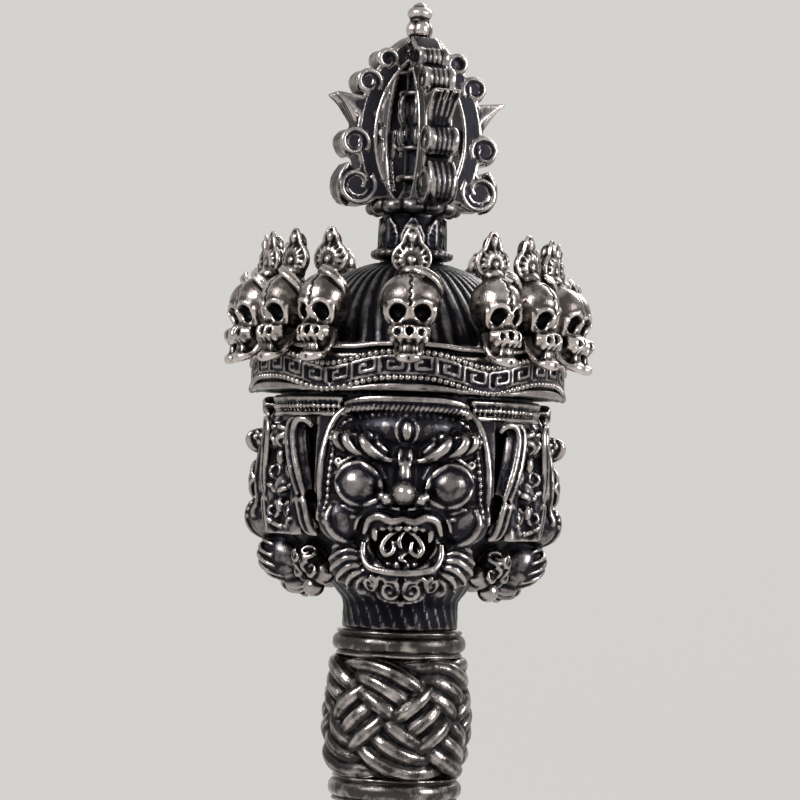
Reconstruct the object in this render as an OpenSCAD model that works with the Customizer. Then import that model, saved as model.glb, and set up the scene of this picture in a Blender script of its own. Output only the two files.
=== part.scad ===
// Three-faced ritual dagger, standing on its blade tip, in millimetres.
// The origin is the blade tip, +Z is up, and the front face looks towards -Y.

/* [Stack] */
// Length of blade that shows below the guard
blade_len = 58; // [44:1:80]
// Height of the monster-headed guard
guard_h = 23; // [20:1:30]
// Height of each turned collar
collar_h = 3; // [2:0.5:4]
// Height of the lower knot
lower_knot_h = 13.2; // [11:0.2:18]
// Height of the grip between the knots
grip_h = 14; // [12:1:24]
// Height of the upper knot
upper_knot_h = 13.2; // [11:0.2:18]

/* [Blade] */
// Reach of each of the three blade edges from the axis
blade_r = 11; // [9:0.5:14]
// Height above the tip at which the blade is widest
blade_belly_z = 47; // [36:1:52]
// Half thickness of a blade fin at the axis
fin_root = 3; // [2.5:0.1:4]
// Half thickness of a blade fin at its edge
fin_edge = 0.3; // [0.2:0.1:0.6]
// Radius of the round tang inside the guard
tang_r = 4; // [3.6:0.1:4.6]
// Length of the tang
tang_len = 12; // [9:0.5:15]
// Thickness of a serpent's body
serpent_t = 1.7; // [1.2:0.1:2.2]

/* [Shaft] */
// Radius of the turned collars
collar_r = 7.5; // [7:0.1:9]
// Radius at the waist of the guard
guard_r = 8; // [7:0.5:9.5]
// Radius of the knots' cast body, under the strands
knot_r = 7.3; // [6.6:0.1:7.8]
// Thickness of one knot strand
strand_t = 1.8; // [1.4:0.1:2.2]
// Radius of the plain tube inside each knot
knot_tube_r = 5; // [4:0.1:5.4]
// Radius of the eight-sided grip, corner to axis
grip_r = 6.2; // [5.4:0.1:7.2]
// Radius of the tie rod
rod_r = 2.5; // [2:0.1:2.8]
// Width of the tie nut across its flats
nut_af = 8; // [7:0.5:8.4]
// Height of the tie nut
nut_h = 4; // [3:0.5:5]
// Thickness of the washer under the nut
washer_h = 0.8; // [0.5:0.1:1.2]

/* [Head] */
// Height of the neck below the chins
neck_h = 3.2; // [2.4:0.2:5]
// Radius of the neck
neck_r = 6.5; // [6:0.1:7.2]
// Height of the head from the neck's foot to the ledge under the crown
head_h = 26.2; // [25.6:0.2:28]
// Height of the cone under the jaws
jaw_h = 9.4; // [8:0.2:11]
// Radius of the head's core behind the faces
head_r = 14.2; // [13.8:0.1:14.6]
// Radius of the ball that the three faces follow
face_ball_r = 17; // [16.6:0.1:17.6]
// Half width of a face
face_half_w = 9.5; // [9:0.1:10]
// Drop of the eyes below the ledge under the crown
eye_drop = 9.4; // [9:0.1:10]
// Drop of the face ball's middle below the ledge under the crown
ball_drop = 10.1; // [9.6:0.1:10.8]
// Distance of an eye from the middle of its face
eye_x = 5.5; // [5:0.1:6]
// Radius of an eyeball
eye_r = 2.6; // [2.2:0.1:2.8]
// Reach of the nose tip from the axis
nose_reach = 20.3; // [19.6:0.1:21]
// Radius of the nose tip
nose_r = 2.1; // [1.7:0.1:2.4]
// Half width of the open mouth
mouth_half_w = 4.2; // [3.6:0.1:4.6]
// Height of the open mouth
mouth_h = 4.2; // [3.6:0.1:4.8]
// Radius of the lips
lip_r = 0.85; // [0.6:0.05:1]
// Radius of the chamber for relics inside the head
chamber_r = 5; // [4.9:0.1:6]
// Height of the chamber's floor above the neck's foot
chamber_floor = 6.6; // [5:0.2:8]

/* [Crown] */
// Height of the crown band
band_h = 5; // [4.4:0.1:6]
// Outer radius of the crown band
band_r = 17.4; // [17:0.1:17.6]
// Radius of the spigot that the band slips over
spigot_r = 13; // [12:0.1:13.4]
// Radius of the wire of each bead string
bead_r = 0.36; // [0.25:0.01:0.42]
// Distance of the skulls' middle from the axis
skull_at = 17.7; // [17.5:0.1:18]
// Width of the skulls beside the middle one of each face
skull_w = 5.4; // [4.8:0.1:5.5]
// Width of the middle skull of each face
front_skull_w = 6.6; // [5.6:0.1:7]
// Height from the foot of a jaw to the top of a skull
skull_h = 11.2; // [10.6:0.1:12]
// Height of the flaming jewel on each skull
plume_h = 4.9; // [4.4:0.1:5.6]
// Radius of the hair dome at its foot
dome_r = 14.2; // [13.2:0.1:14.3]
// Height of the hair dome
dome_h = 10; // [8:0.5:12]

/* [Thunderbolt top] */
// Radius of the plug that closes the chamber
plug_r = 3.2; // [2.8:0.1:3.6]
// Radius of the foot flange above the hair dome
flange_r = 4.4; // [4.1:0.1:5]
// Thickness of the foot flange
flange_h = 1; // [0.8:0.1:1.6]
// Radius of the short column
column_r = 3.4; // [3:0.1:3.8]
// Height of the short column
column_h = 4.1; // [3:0.1:6]
// Radius of the lotus hub
hub_r = 5.2; // [4.8:0.1:6]
// Thickness of the lotus hub
hub_h = 1.4; // [1:0.1:2]
// Radius of the spindle through the prongs
spindle_r = 1.2; // [1:0.05:1.4]
// Height of the cage of prongs above the hub
cage_h = 18.2; // [17:0.2:20]
// Thickness of a prong, side to side
prong_t = 3.2; // [2.8:0.1:3.6]
// Width of the arched band of a prong
arch_w = 2.4; // [2:0.1:2.8]
// Radius of the prong arch's inner edge
arch_r = 11.6; // [11:0.1:12.4]
// How far the arch's centre lies behind the axis
arch_back = 6.5; // [6:0.1:7]
// Reach of the flared leaf of a prong from the axis
leaf_reach = 10.3; // [9.4:0.1:11]
// Turn of the prongs from the front face, in degrees
prong_turn = 20; // [0:1:45]
// Height of the finial
finial_h = 4.5; // [3.6:0.1:6]
// Radius of the finial's drum
drum_r = 1.6; // [1.3:0.05:1.65]

/* [Fits] */
// Clearance of pieces that are pressed or screwed together
fit_gap = 0.05; // [0.02:0.01:0.1]
// Clearance round the tie rod
rod_gap = 0.2; // [0.1:0.05:0.4]
// Clearance of the lifting top in the head
run_gap = 0.3; // [0.2:0.05:0.4]

/* [Hidden] */
z_guard = blade_len;
z_collar_4 = z_guard + guard_h;
z_lower_knot = z_collar_4 + collar_h;
z_collar_3 = z_lower_knot + lower_knot_h;
z_grip = z_collar_3 + collar_h;
z_collar_2 = z_grip + grip_h;
z_upper_knot = z_collar_2 + collar_h;
z_collar_1 = z_upper_knot + upper_knot_h;
z_head = z_collar_1 + collar_h;
z_jaw = z_head + neck_h;
z_ledge = z_head + head_h;
z_band_top = z_ledge + band_h;
z_dome_top = z_band_top + dome_h;
z_flange = z_dome_top + run_gap;
z_column = z_flange + flange_h;
z_hub = z_column + column_h;
z_cage = z_hub + hub_h;
z_finial = z_cage + cage_h;
z_floor = z_head + chamber_floor;

rod_bore_r = rod_r + rod_gap;
thread_r = rod_r + fit_gap;
plug_bore_r = plug_r + run_gap;
collar_round = 1.2;
face_count = 3;
face_step = 360 / face_count;
collar_z = [z_collar_1, z_collar_2, z_collar_3, z_collar_4];

// Each face carries five skulls, the middle one straight above it.
skull_turns = [-50.5, -32, 0, 32, 50.5];
skull_per_face = len(skull_turns);
skull_count = face_count * skull_per_face;

// Parts of a skull: how far its jaw hangs below the band's top, its reach in front of its middle, the
// block of cheeks and teeth, the jaw's bars, the crest that stands on the band, and the jewel.
jaw_hang = 2.3;
skull_reach = 2.7;
brow_drop = 2.1;
cheek_foot = 2.6;
cheek_block_h = 2.4;
chin_h = 2;
jaw_inset = 0.3;
jaw_bar = 0.8;
jaw_bar_foot = 0.6;
jaw_bar_h = 4;
crest_front = 2.4;
crest_depth = 2.8;
crest_h = 4.4;
plume_back = 2;
plume_r = 2;
plume_foot_r = 1.5;
plume_tip_r = 0.5;
plume_sink = 0.8;
plume_waist = 1.6;
knob_r = 0.7;
rosette_r = 1.7;
rosette_h = 0.7;
socket_drop = 1.6;
socket_depth = 0.9;
nose_hole_r = 0.45;
tooth_gap = 0.2;
tooth_line = 1.15;

// Features of a face, measured from its eye line.
z_eye = z_ledge - eye_drop;
z_ball = z_ledge - ball_drop;
nose_drop = 1.8;
brow_rise = 3.4;
brow_r = 1.15;
mouth_top = z_eye - 4.6;
mouth_back = head_r + 0.5;
third_eye_rise = 5.6;
lip_lean = 20;

// The prong's scrolls: reach from the axis, height above the hub, radius.
scrolls = [[4.1, 15.7, 1.1], [6.2, 13, 1.35], [7.5, 6.2, 1.5], [6.7, 1.3, 2.1]];

knot_rows = 3;
knot_columns = 6;
strands = 3;
strand_lean = 42;
strand_turn = 360 / (knot_columns * strands);
serpent_waves = 3;
serpent_rings = 36;
serpent_sides = 8;

dark = "#3c3a3e";
silver = "#8d8a86";
bright = "#b3afa9";
steel = "#9aa0a6";

$fn = 48;

// A disc bored through, with rounded rims.
module ring(z, r, h, bore, round) {
    translate([0, 0, z])
        rotate_extrude()
            difference() {
                union() {
                    square([r - round, h]);
                    translate([0, round])
                        square([r, h - 2 * round]);
                    translate([r - round, round])
                        circle(round);
                    translate([r - round, h - round])
                        circle(round);
                }
                translate([-1, -1])
                    square([bore + 1, h + 2]);
            }
}

// Puts its children at a turn from the front, a reach from the axis and a height.
module around(turn, reach, z) {
    rotate([0, 0, turn])
        translate([0, -reach, z])
            children();
}

// A ball with its seam on the inner side, just off the middle plane.
module ball(r) {
    rotate([0, 0, 83])
        sphere(r);
}

// A rod between two points of one face, in its own upright plane.
module bar(x1, z1, x2, z2, r) {
    run = sqrt((x2 - x1) ^ 2 + (z2 - z1) ^ 2);
    translate([x1, 0, z1])
        rotate([0, atan2(x2 - x1, z2 - z1), 0])
            cylinder(r = r, h = run);
}

// The blade: three fins that run to one point, and a tapped tang above.
module blade_fin(turn) {
    rotate([0, 0, turn])
        linear_extrude(blade_len)
            polygon([[-fin_root, 0], [-fin_edge, -blade_r], [fin_edge, -blade_r], [fin_root, 0]]);
}

module blade() {
    shoulder_r = blade_r - 2.5;
    color(silver) {
        intersection() {
            union()
                for (i = [0:face_count - 1])
                    blade_fin(face_step / 2 + i * face_step);
            rotate_extrude()
                polygon([
                    [0, 0],
                    [blade_r * 0.3, blade_belly_z * 0.18],
                    [blade_r * 0.72, blade_belly_z * 0.55],
                    [blade_r * 0.94, blade_belly_z * 0.84],
                    [blade_r, blade_belly_z],
                    [blade_r, blade_belly_z + 3],
                    [shoulder_r, blade_len],
                    [0, blade_len]
                ]);
        }
        difference() {
            translate([0, 0, blade_len - 1])
                cylinder(r = tang_r, h = tang_len + 1);
            translate([0, 0, blade_len + 1])
                cylinder(r = thread_r, h = tang_len);
        }
    }
}

// A serpent that winds up one hollow flank of the blade, head down.
half_step = face_step / 2;
flank_r = fin_root / (sin(half_step) + (fin_root - fin_edge) / blade_r * cos(half_step));
function serpent_girth(t) = serpent_t / 2 * (0.55 + 0.45 * sin(180 * min(1, 0.15 + t)));
function serpent_x(t) = 1.5 * sin(360 * serpent_waves * t) * (0.35 + 0.65 * t);
function serpent_reach(t) =
    flank_r + (serpent_girth(t) + fit_gap) / sin(half_step) + abs(serpent_x(t)) * 0.72;
function serpent_at(t) = [serpent_x(t), -serpent_reach(t), blade_len * (0.2 + 0.74 * t)];

module serpent(i) {
    last = serpent_rings - 1;
    points = [
        for (k = [0:last])
            let (t = k / last)
                for (s = [0:serpent_sides - 1])
                    let (a = 360 * s / serpent_sides)
                        serpent_at(t) + serpent_girth(t) * [cos(a), -sin(a), 0]
    ];
    sides = [
        for (k = [0:last - 1])
            for (s = [0:serpent_sides - 1])
                let (n = (s + 1) % serpent_sides, low = k * serpent_sides, high = low + serpent_sides)
                    [low + s, high + s, high + n, low + n]
    ];
    foot = [for (s = [0:serpent_sides - 1]) s];
    crown = [for (s = [serpent_sides - 1:-1:0]) last * serpent_sides + s];
    color(bright)
        rotate([0, 0, (i - 1) * face_step])
            polyhedron(points, concat(sides, [foot, crown]), convexity = 4);
}

// The guard: a bored baluster that holds the blade's tang.
module makara_guard() {
    foot_h = 4;
    waist = guard_h - 7;
    color(dark)
        difference() {
            translate([0, 0, z_guard]) {
                cylinder(r1 = guard_r - 1, r2 = guard_r, h = foot_h);
                translate([0, 0, foot_h])
                    cylinder(r = guard_r, h = waist - foot_h);
                translate([0, 0, waist])
                    cylinder(r1 = guard_r, r2 = collar_r - 1.4, h = guard_h - waist);
            }
            translate([0, 0, z_guard - 1])
                cylinder(r = tang_r + fit_gap, h = tang_len + 1 + fit_gap);
            translate([0, 0, z_guard])
                cylinder(r = rod_bore_r, h = guard_h + 1);
        }
}

// A long-snouted water monster on each side of the guard, brazed to it.
module makara_head(i) {
    brow_z = z_guard + guard_h * 0.58;
    muzzle_z = z_guard + guard_h * 0.36;
    snout_z = z_guard + guard_h * 0.2;
    color(silver)
        rotate([0, 0, (i - 1) * face_step])
            difference() {
                union() {
                    translate([0, -guard_r, brow_z])
                        ball(3.3);
                    translate([0, -guard_r - 0.9, muzzle_z])
                        ball(2.9);
                    translate([0, -guard_r - 1.6, snout_z])
                        ball(2);
                    translate([0, -guard_r - 3.2, snout_z + 1.2])
                        ball(1.3);
                    for (side = [-1, 1]) {
                        translate([side * 2, -guard_r - 2.4, brow_z + 0.8])
                            ball(1.1);
                        translate([side * 2.9, -guard_r + 0.6, brow_z + 3.6])
                            ball(1.5);
                    }
                }
                translate([0, 0, z_guard])
                    cylinder(r = guard_r + fit_gap, h = guard_h);
            }
}

// Collars between the stacked castings, counted from the head down.
module collar(i) {
    color(bright)
        ring(collar_z[i - 1], collar_r, collar_h, rod_bore_r, collar_round);
}

// A knot: a plain tube, and the cast body whose strands pass over and under.
module knot_tube(z, h) {
    color(steel)
        translate([0, 0, z])
            difference() {
                cylinder(r = knot_tube_r, h = h);
                translate([0, 0, -1])
                    cylinder(r = rod_bore_r, h = h + 2);
            }
}

module strand_bulge(length) {
    hull() {
        for (end = [-1, 1])
            translate([0, 0, end * length / 2])
                sphere(strand_t * 0.32, $fn = 6);
        translate([0, -strand_t * 0.16, 0])
            sphere(strand_t / 2, $fn = 8);
    }
}

module knot_body(z, h) {
    row_h = h / knot_rows;
    color(bright)
        translate([0, 0, z])
            difference() {
                union() {
                    cylinder(r = knot_r, h = h);
                    for (row = [0:knot_rows - 1])
                        for (k = [0:knot_columns * strands - 1])
                            around((k + (row % 2) / 2) * strand_turn, knot_r, row_h * (row + 0.5))
                                rotate([0, row % 2 == 0 ? -strand_lean : strand_lean, 0])
                                    strand_bulge(row_h * 0.9);
                }
                translate([0, 0, -1])
                    cylinder(r = knot_tube_r + 3 * fit_gap, h = h + 2);
                for (end = [-1, 1])
                    translate([0, 0, end < 0 ? -5 : h])
                        cylinder(r = 2 * knot_r, h = 5);
            }
}

// The grip: an eight-sided drum between two lotus rings.
module grip() {
    lotus_h = 3;
    color(dark)
        difference() {
            union() {
                translate([0, 0, z_grip])
                    rotate([0, 0, 22.5])
                        cylinder(r = grip_r, h = grip_h, $fn = 8);
                ring(z_grip, collar_r - 0.8, lotus_h, rod_bore_r, collar_round);
                ring(z_grip + grip_h - lotus_h, collar_r - 0.8, lotus_h, rod_bore_r, collar_round);
            }
            translate([0, 0, z_grip - 1])
                cylinder(r = rod_bore_r, h = grip_h + 2);
        }
}

// The tie rod, its washer and its nut clamp the whole stack.
module tie_rod() {
    foot = blade_len + 1 + fit_gap;
    top = z_floor + washer_h + nut_h + 1.2;
    color(steel)
        translate([0, 0, foot])
            cylinder(r = rod_r, h = top - foot);
}

module tie_washer() {
    color(steel)
        translate([0, 0, z_floor])
            difference() {
                cylinder(r = nut_af / 2, h = washer_h);
                translate([0, 0, -1])
                    cylinder(r = rod_bore_r, h = washer_h + 2);
            }
}

module tie_nut() {
    color(steel)
        translate([0, 0, z_floor + washer_h])
            difference() {
                cylinder(r = nut_af / 2 / cos(30), h = nut_h, $fn = 6);
                translate([0, 0, -1])
                    cylinder(r = thread_r, h = nut_h + 2);
            }
}

// The head's outside behind the faces, grown by a gap.
module head_outside(gap) {
    translate([0, 0, z_head])
        cylinder(r = neck_r + gap, h = neck_h + gap);
    translate([0, 0, z_jaw])
        cylinder(r1 = neck_r + gap, r2 = head_r + gap, h = jaw_h);
    translate([0, 0, z_jaw + jaw_h])
        cylinder(r = head_r + gap, h = z_ledge - z_jaw - jaw_h);
}

module head_core() {
    color(dark)
        difference() {
            union() {
                head_outside(0);
                translate([0, 0, z_ledge])
                    cylinder(r = spigot_r, h = band_h);
            }
            translate([0, 0, z_floor])
                cylinder(r = chamber_r, h = z_band_top - z_floor + 1);
            translate([0, 0, z_head - 1])
                cylinder(r = rod_bore_r, h = chamber_floor + 2);
        }
}

// A face: a shield cut from the ball, with its features raised on it.
module face_shield() {
    low = z_jaw + 0.6;
    high = z_ledge - 0.3;
    intersection() {
        translate([0, 0, z_ball])
            sphere(face_ball_r);
        rotate([90, 0, 0])
            linear_extrude(face_ball_r + 1)
                polygon([
                    [-5.4, low],
                    [5.4, low],
                    [face_half_w, z_jaw + jaw_h + 2],
                    [face_half_w, high - 2],
                    [face_half_w - 1.4, high],
                    [1.4 - face_half_w, high],
                    [-face_half_w, high - 2],
                    [-face_half_w, z_jaw + jaw_h + 2]
                ]);
    }
}

module face_features() {
    nose_z = z_eye - nose_drop;
    nose_y = nose_r - nose_reach;
    lip_y = -(face_ball_r - 0.9);
    translate([0, nose_y, nose_z])
        sphere(nose_r);
    translate([0, nose_y, nose_z])
        rotate([-90, 0, 0])
            cylinder(r = nose_r * 0.7, h = nose_reach - nose_r - head_r);
    translate([0, -face_ball_r, z_eye + 2.6])
        sphere(1.5);
    translate([0, -(face_ball_r - 0.6), z_eye + third_eye_rise])
        sphere(0.95);
    for (side = [-1, 1]) {
        translate([side * eye_x, -(face_ball_r - 2.2), z_eye])
            sphere(eye_r);
        translate([side * nose_r, nose_y + 0.7, nose_z - 0.5])
            sphere(nose_r * 0.66);
        translate([0, -(face_ball_r - 0.2), 0])
            bar(side * 1.2, z_eye + brow_rise - 0.7, side * (face_half_w - 2), z_eye + brow_rise + 1.6, brow_r);
        translate([side * (face_half_w - 2.2), -(face_ball_r - 1.6), z_eye + brow_rise + 1.7])
            sphere(1.7);
        translate([side * 6.2, -(head_r - 0.4), mouth_top + 0.6])
            sphere(2.9);
        translate([0, lip_y, 0])
            bar(side * (mouth_half_w - 0.2), mouth_top - mouth_h * 0.3, side * 0.6, mouth_top + 0.7, lip_r);
        translate([side * mouth_half_w, lip_y + 0.4, mouth_top - mouth_h * 0.45])
            sphere(lip_r + 0.35);
        translate([side * 7.6, -(head_r - 2), mouth_top - 4.6])
            sphere(2.1);
    }
    translate([0, lip_y + 0.4, mouth_top - mouth_h * 0.45])
        rotate([90 + lip_lean, 0, 0])
            rotate([0, 0, 180])
                rotate_extrude(angle = 180)
                    translate([mouth_half_w, 0])
                        circle(lip_r);
    for (k = [-2:2])
        around(k * 13, head_r + 0.2 - abs(k) * 0.3, z_jaw + 1.7 + abs(k) * 0.35)
            sphere(1.8);
}

module face(i) {
    color(silver)
        rotate([0, 0, (i - 1) * face_step])
            difference() {
                union() {
                    difference() {
                        union() {
                            face_shield();
                            face_features();
                        }
                        translate([-mouth_half_w + lip_r, -face_ball_r - 2, mouth_top - mouth_h])
                            cube([2 * (mouth_half_w - lip_r), face_ball_r + 2 - mouth_back, mouth_h]);
                    }
                    translate([0, -mouth_back, mouth_top - mouth_h * 0.6])
                        sphere(1.5);
                    for (side = [-1, 1])
                        translate([side * 2.2, 0.9 - face_ball_r, mouth_top - mouth_h * 0.6])
                            cylinder(r1 = 0.2, r2 = 0.7, h = mouth_h * 0.6 + 0.6);
                }
                head_outside(fit_gap);
            }
}

// An ear between two faces: a broad flap with a raised double rim.
module ear_panel(i) {
    ear_h = 12.4;
    ear_w = 6.4;
    ear_z = z_eye - 0.2;
    color(silver)
        rotate([0, 0, face_step / 2 + (i - 1) * face_step])
            difference() {
                union() {
                    translate([0, 0, ear_z])
                        rotate([90, 0, 0])
                            linear_extrude(head_r + 0.9)
                                square([ear_w, ear_h], center = true);
                    for (side = [-1, 1])
                        translate([side * (ear_w / 2 - 0.5), -(head_r + 0.6), ear_z - ear_h / 2])
                            cylinder(r = 0.9, h = ear_h);
                    translate([0, -(head_r + 0.7), ear_z + ear_h / 2 - 1.4])
                        ball(1.6);
                    translate([0, -(head_r + 0.5), ear_z - 1])
                        ball(1.5);
                }
                head_outside(fit_gap);
                translate([-ear_w, 0, z_head])
                    cube([2 * ear_w, head_r, head_h]);
            }
}

// A jewelled drop under each ear, cast with its three curls.
module ear_pendant(i) {
    drop_z = z_jaw + 2.2;
    reach = neck_r + 3.4;
    color(bright)
        rotate([0, 0, face_step / 2 + (i - 1) * face_step])
            difference() {
                union() {
                    translate([0, -reach - 1.3, drop_z + 2.6])
                        ball(2);
                    for (side = [-1, 1])
                        translate([side * 1.5, -reach - 0.9, drop_z + 0.9])
                            ball(1.4);
                    translate([0, -reach - 1.2, drop_z - 0.7])
                        ball(1.2);
                }
                head_outside(fit_gap);
            }
}

// The crown band and the two bead strings in its grooves.
module bead_ring(z, r) {
    translate([0, 0, z])
        rotate_extrude()
            translate([band_r, 0])
                circle(r);
}

bead_z = [z_band_top - 2 * bead_r, z_ledge + 2 * bead_r];

module crown_band() {
    color(dark)
        difference() {
            translate([0, 0, z_ledge])
                cylinder(r = band_r, h = band_h);
            translate([0, 0, z_ledge - 1])
                cylinder(r = spigot_r + fit_gap, h = band_h + 2);
            for (z = bead_z)
                bead_ring(z, bead_r + fit_gap);
        }
}

module bead_string(i) {
    color(bright)
        bead_ring(bead_z[i], bead_r);
}

// The combed hair inside the crown, bored for the plug.
module hair_dome() {
    top_r = flange_r;
    rise = (dome_r ^ 2 - top_r ^ 2 - dome_h ^ 2) / (2 * dome_h);
    ball = sqrt(dome_r ^ 2 + rise ^ 2);
    color(dark)
        difference() {
            intersection() {
                translate([0, 0, z_band_top - rise])
                    sphere(ball);
                translate([0, 0, z_band_top])
                    cylinder(r = ball + 1, h = dome_h);
            }
            translate([0, 0, z_band_top - 1])
                cylinder(r = plug_bore_r, h = dome_h + 2);
        }
}

// A skull of the crown, with its jaw in front of the band and a jewel on top.
module skull(i) {
    middle = (i - 1) % skull_per_face == floor(skull_per_face / 2);
    turn = floor((i - 1) / skull_per_face) * face_step + skull_turns[(i - 1) % skull_per_face];
    w = middle ? front_skull_w : skull_w;
    r = w / 2;
    foot = z_band_top - jaw_hang;
    top = foot + skull_h;
    front = skull_at + skull_reach;
    jaw_back = band_r + bead_r + run_gap;
    jaw_w = w * 0.64;
    socket_x = w * 0.22;
    socket_z = top - r - socket_drop;
    color(bright)
        rotate([0, 0, turn])
            difference() {
                union() {
                    translate([0, -skull_at, top - r])
                        ball(r);
                    translate([0, -skull_at - r * 0.17, top - r - brow_drop])
                        ball(r * 0.86);
                    translate([-jaw_w / 2, jaw_inset - front, foot + cheek_foot])
                        cube([jaw_w, front - skull_at, cheek_block_h]);
                    translate([jaw_inset - jaw_w / 2, -front + jaw_inset / 3, foot])
                        cube([jaw_w - 2 * jaw_inset, front - jaw_back - jaw_inset / 3, chin_h]);
                    for (side = [-1, 1])
                        translate([side * (jaw_w - jaw_bar) / 2 - jaw_bar / 2, 1 - front, foot + jaw_bar_foot])
                            cube([jaw_bar, front - jaw_back - 1, jaw_bar_h]);
                    translate([-r * 0.6, crest_front - crest_depth - skull_at, z_band_top])
                        cube([r * 1.2, crest_depth, crest_h]);
                    translate([0, plume_back - skull_at, top - plume_sink])
                        cylinder(r1 = plume_foot_r, r2 = plume_r, h = plume_sink + plume_waist);
                    translate([0, plume_back - skull_at, top + plume_waist])
                        cylinder(r1 = plume_r, r2 = plume_tip_r, h = plume_h - knob_r - 1.5);
                    translate([0, plume_back - skull_at, top + plume_h - knob_r])
                        ball(knob_r);
                    translate([0, plume_back - plume_r * 0.7 - skull_at, top + plume_waist - 0.2])
                        rotate([90, 0, 0])
                            cylinder(r = rosette_r, h = rosette_h);
                }
                for (side = [-1, 1])
                    translate([side * socket_x, socket_depth - front, socket_z])
                        rotate([90, 0, 0])
                            cylinder(r = w * 0.17, h = skull_reach);
                translate([0, socket_depth * 0.67 - front, socket_z - 1.8])
                    rotate([90, 0, 0])
                        cylinder(r = nose_hole_r, h = skull_reach);
                translate([-r * 0.7, -front - 1, foot + cheek_foot])
                    cube([r * 1.4, tooth_line, tooth_gap]);
            }
}

// The stem of the lifting top: plug, flange and column on one bored casting.
module vajra_stem() {
    plug_foot = z_band_top + run_gap;
    color(dark)
        difference() {
            union() {
                translate([0, 0, plug_foot])
                    cylinder(r = plug_r, h = z_flange - plug_foot + 0.1);
                translate([0, 0, z_flange])
                    cylinder(r = flange_r, h = flange_h);
                translate([0, 0, z_column])
                    cylinder(r = column_r, h = column_h);
                for (turn = [0:60:300])
                    around(turn, column_r - 0.5, z_column + column_h * 0.55)
                        ball(1.1);
            }
            translate([0, 0, z_flange - 4])
                cylinder(r = spindle_r + fit_gap, h = z_hub - z_flange + 5);
        }
}

module vajra_hub() {
    color(dark)
        ring(z_hub, hub_r, hub_h, spindle_r + fit_gap, hub_h * 0.35);
}

// The spindle runs from the stem through the hub and the cage.
module vajra_spindle() {
    foot = z_flange - 4 + fit_gap;
    color(dark) {
        translate([0, 0, foot])
            cylinder(r = spindle_r, h = z_finial - foot);
        translate([0, 0, z_cage])
            cylinder(r1 = 2, r2 = spindle_r, h = 1.6);
    }
}

// One prong of the cage: an arched band with its scrolls and a flared leaf.
module prong_outline() {
    inner = prong_t / 2 + fit_gap;
    centre_z = cage_h * 0.396;
    difference() {
        union() {
            difference() {
                translate([-arch_back, centre_z])
                    circle(arch_r + arch_w);
                translate([-arch_back, centre_z])
                    circle(arch_r);
            }
            for (s = scrolls)
                translate([s[0], s[1]])
                    circle(s[2]);
            polygon([[5.8, 8], [leaf_reach, 11.8], [6.6, 11.4]]);
        }
        translate([-100, -50])
            square([100 + inner, 100]);
        translate([0, -50])
            square([hub_r + fit_gap, 50]);
    }
}

module vajra_prong(i) {
    color(silver)
        rotate([0, 0, prong_turn + (i - 1) * 90])
            translate([0, prong_t / 2, z_cage])
                rotate([90, 0, 0])
                    linear_extrude(prong_t)
                        prong_outline();
}

// The finial: a four-lobed drum under a pointed bud, screwed on the spindle.
module finial() {
    drum_h = finial_h * 0.5;
    bud_h = finial_h - drum_h;
    color(bright) {
        translate([0, 0, z_finial])
            cylinder(r = drum_r, h = drum_h);
        translate([0, 0, z_finial + drum_h])
            rotate_extrude()
                polygon([
                    [0, 0],
                    [drum_r * 0.6, 0],
                    [drum_r * 0.88, bud_h * 0.3],
                    [drum_r * 0.72, bud_h * 0.62],
                    [drum_r * 0.3, bud_h * 0.9],
                    [0, bud_h]
                ]);
    }
}

blade();
makara_guard();
knot_tube(z_lower_knot, lower_knot_h);  // lower_knot_tube
knot_body(z_lower_knot, lower_knot_h);  // lower_knot
grip();
knot_tube(z_upper_knot, upper_knot_h);  // upper_knot_tube
knot_body(z_upper_knot, upper_knot_h);  // upper_knot
tie_rod();
tie_nut();
tie_washer();
head_core();
crown_band();
bead_string(0);  // bead_string_upper
bead_string(1);  // bead_string_lower
hair_dome();
vajra_stem();
vajra_spindle();
vajra_hub();
finial();
for (i = [1:len(collar_z)]) collar(i);
for (i = [1:face_count]) makara_head(i);
for (i = [1:face_count]) serpent(i);
for (i = [1:face_count]) face(i);
for (i = [1:face_count]) ear_panel(i);
for (i = [1:face_count]) ear_pendant(i);
for (i = [1:skull_count]) skull(i);
for (i = [1:4]) vajra_prong(i);
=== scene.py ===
import math

import bmesh
import bpy
import numpy as np
from mathutils import Matrix, Vector
from mathutils.bvhtree import BVHTree
from mathutils.kdtree import KDTree


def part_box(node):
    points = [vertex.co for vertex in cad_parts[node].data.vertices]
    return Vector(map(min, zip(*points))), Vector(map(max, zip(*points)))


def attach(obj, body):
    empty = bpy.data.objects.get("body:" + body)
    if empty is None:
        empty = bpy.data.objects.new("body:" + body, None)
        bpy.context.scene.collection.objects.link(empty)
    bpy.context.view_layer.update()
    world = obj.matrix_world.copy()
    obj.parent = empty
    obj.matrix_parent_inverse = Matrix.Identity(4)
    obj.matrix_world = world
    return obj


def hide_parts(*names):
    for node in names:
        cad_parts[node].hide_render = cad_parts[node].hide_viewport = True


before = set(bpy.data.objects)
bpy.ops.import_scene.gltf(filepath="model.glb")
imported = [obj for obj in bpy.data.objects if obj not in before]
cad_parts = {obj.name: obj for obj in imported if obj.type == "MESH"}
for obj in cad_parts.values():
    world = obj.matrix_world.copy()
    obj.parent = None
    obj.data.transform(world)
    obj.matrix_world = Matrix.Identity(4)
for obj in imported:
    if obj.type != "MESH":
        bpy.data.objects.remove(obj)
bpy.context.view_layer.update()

# The camera stands level with the faces and a little below the picture's middle, as the photograph was taken,
# and is rolled so that the dagger leans slightly to the right.
LENS = 128
EYE_DISTANCE = 0.32
EYE_HEIGHT = 0.150
AIM = (-0.0008, 0, 0.1591)
ROLL = 1.9


def add_object(name, data):
    """A new object in the scene."""
    thing = bpy.data.objects.new(name, data)
    bpy.context.scene.collection.objects.link(thing)
    return thing


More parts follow.
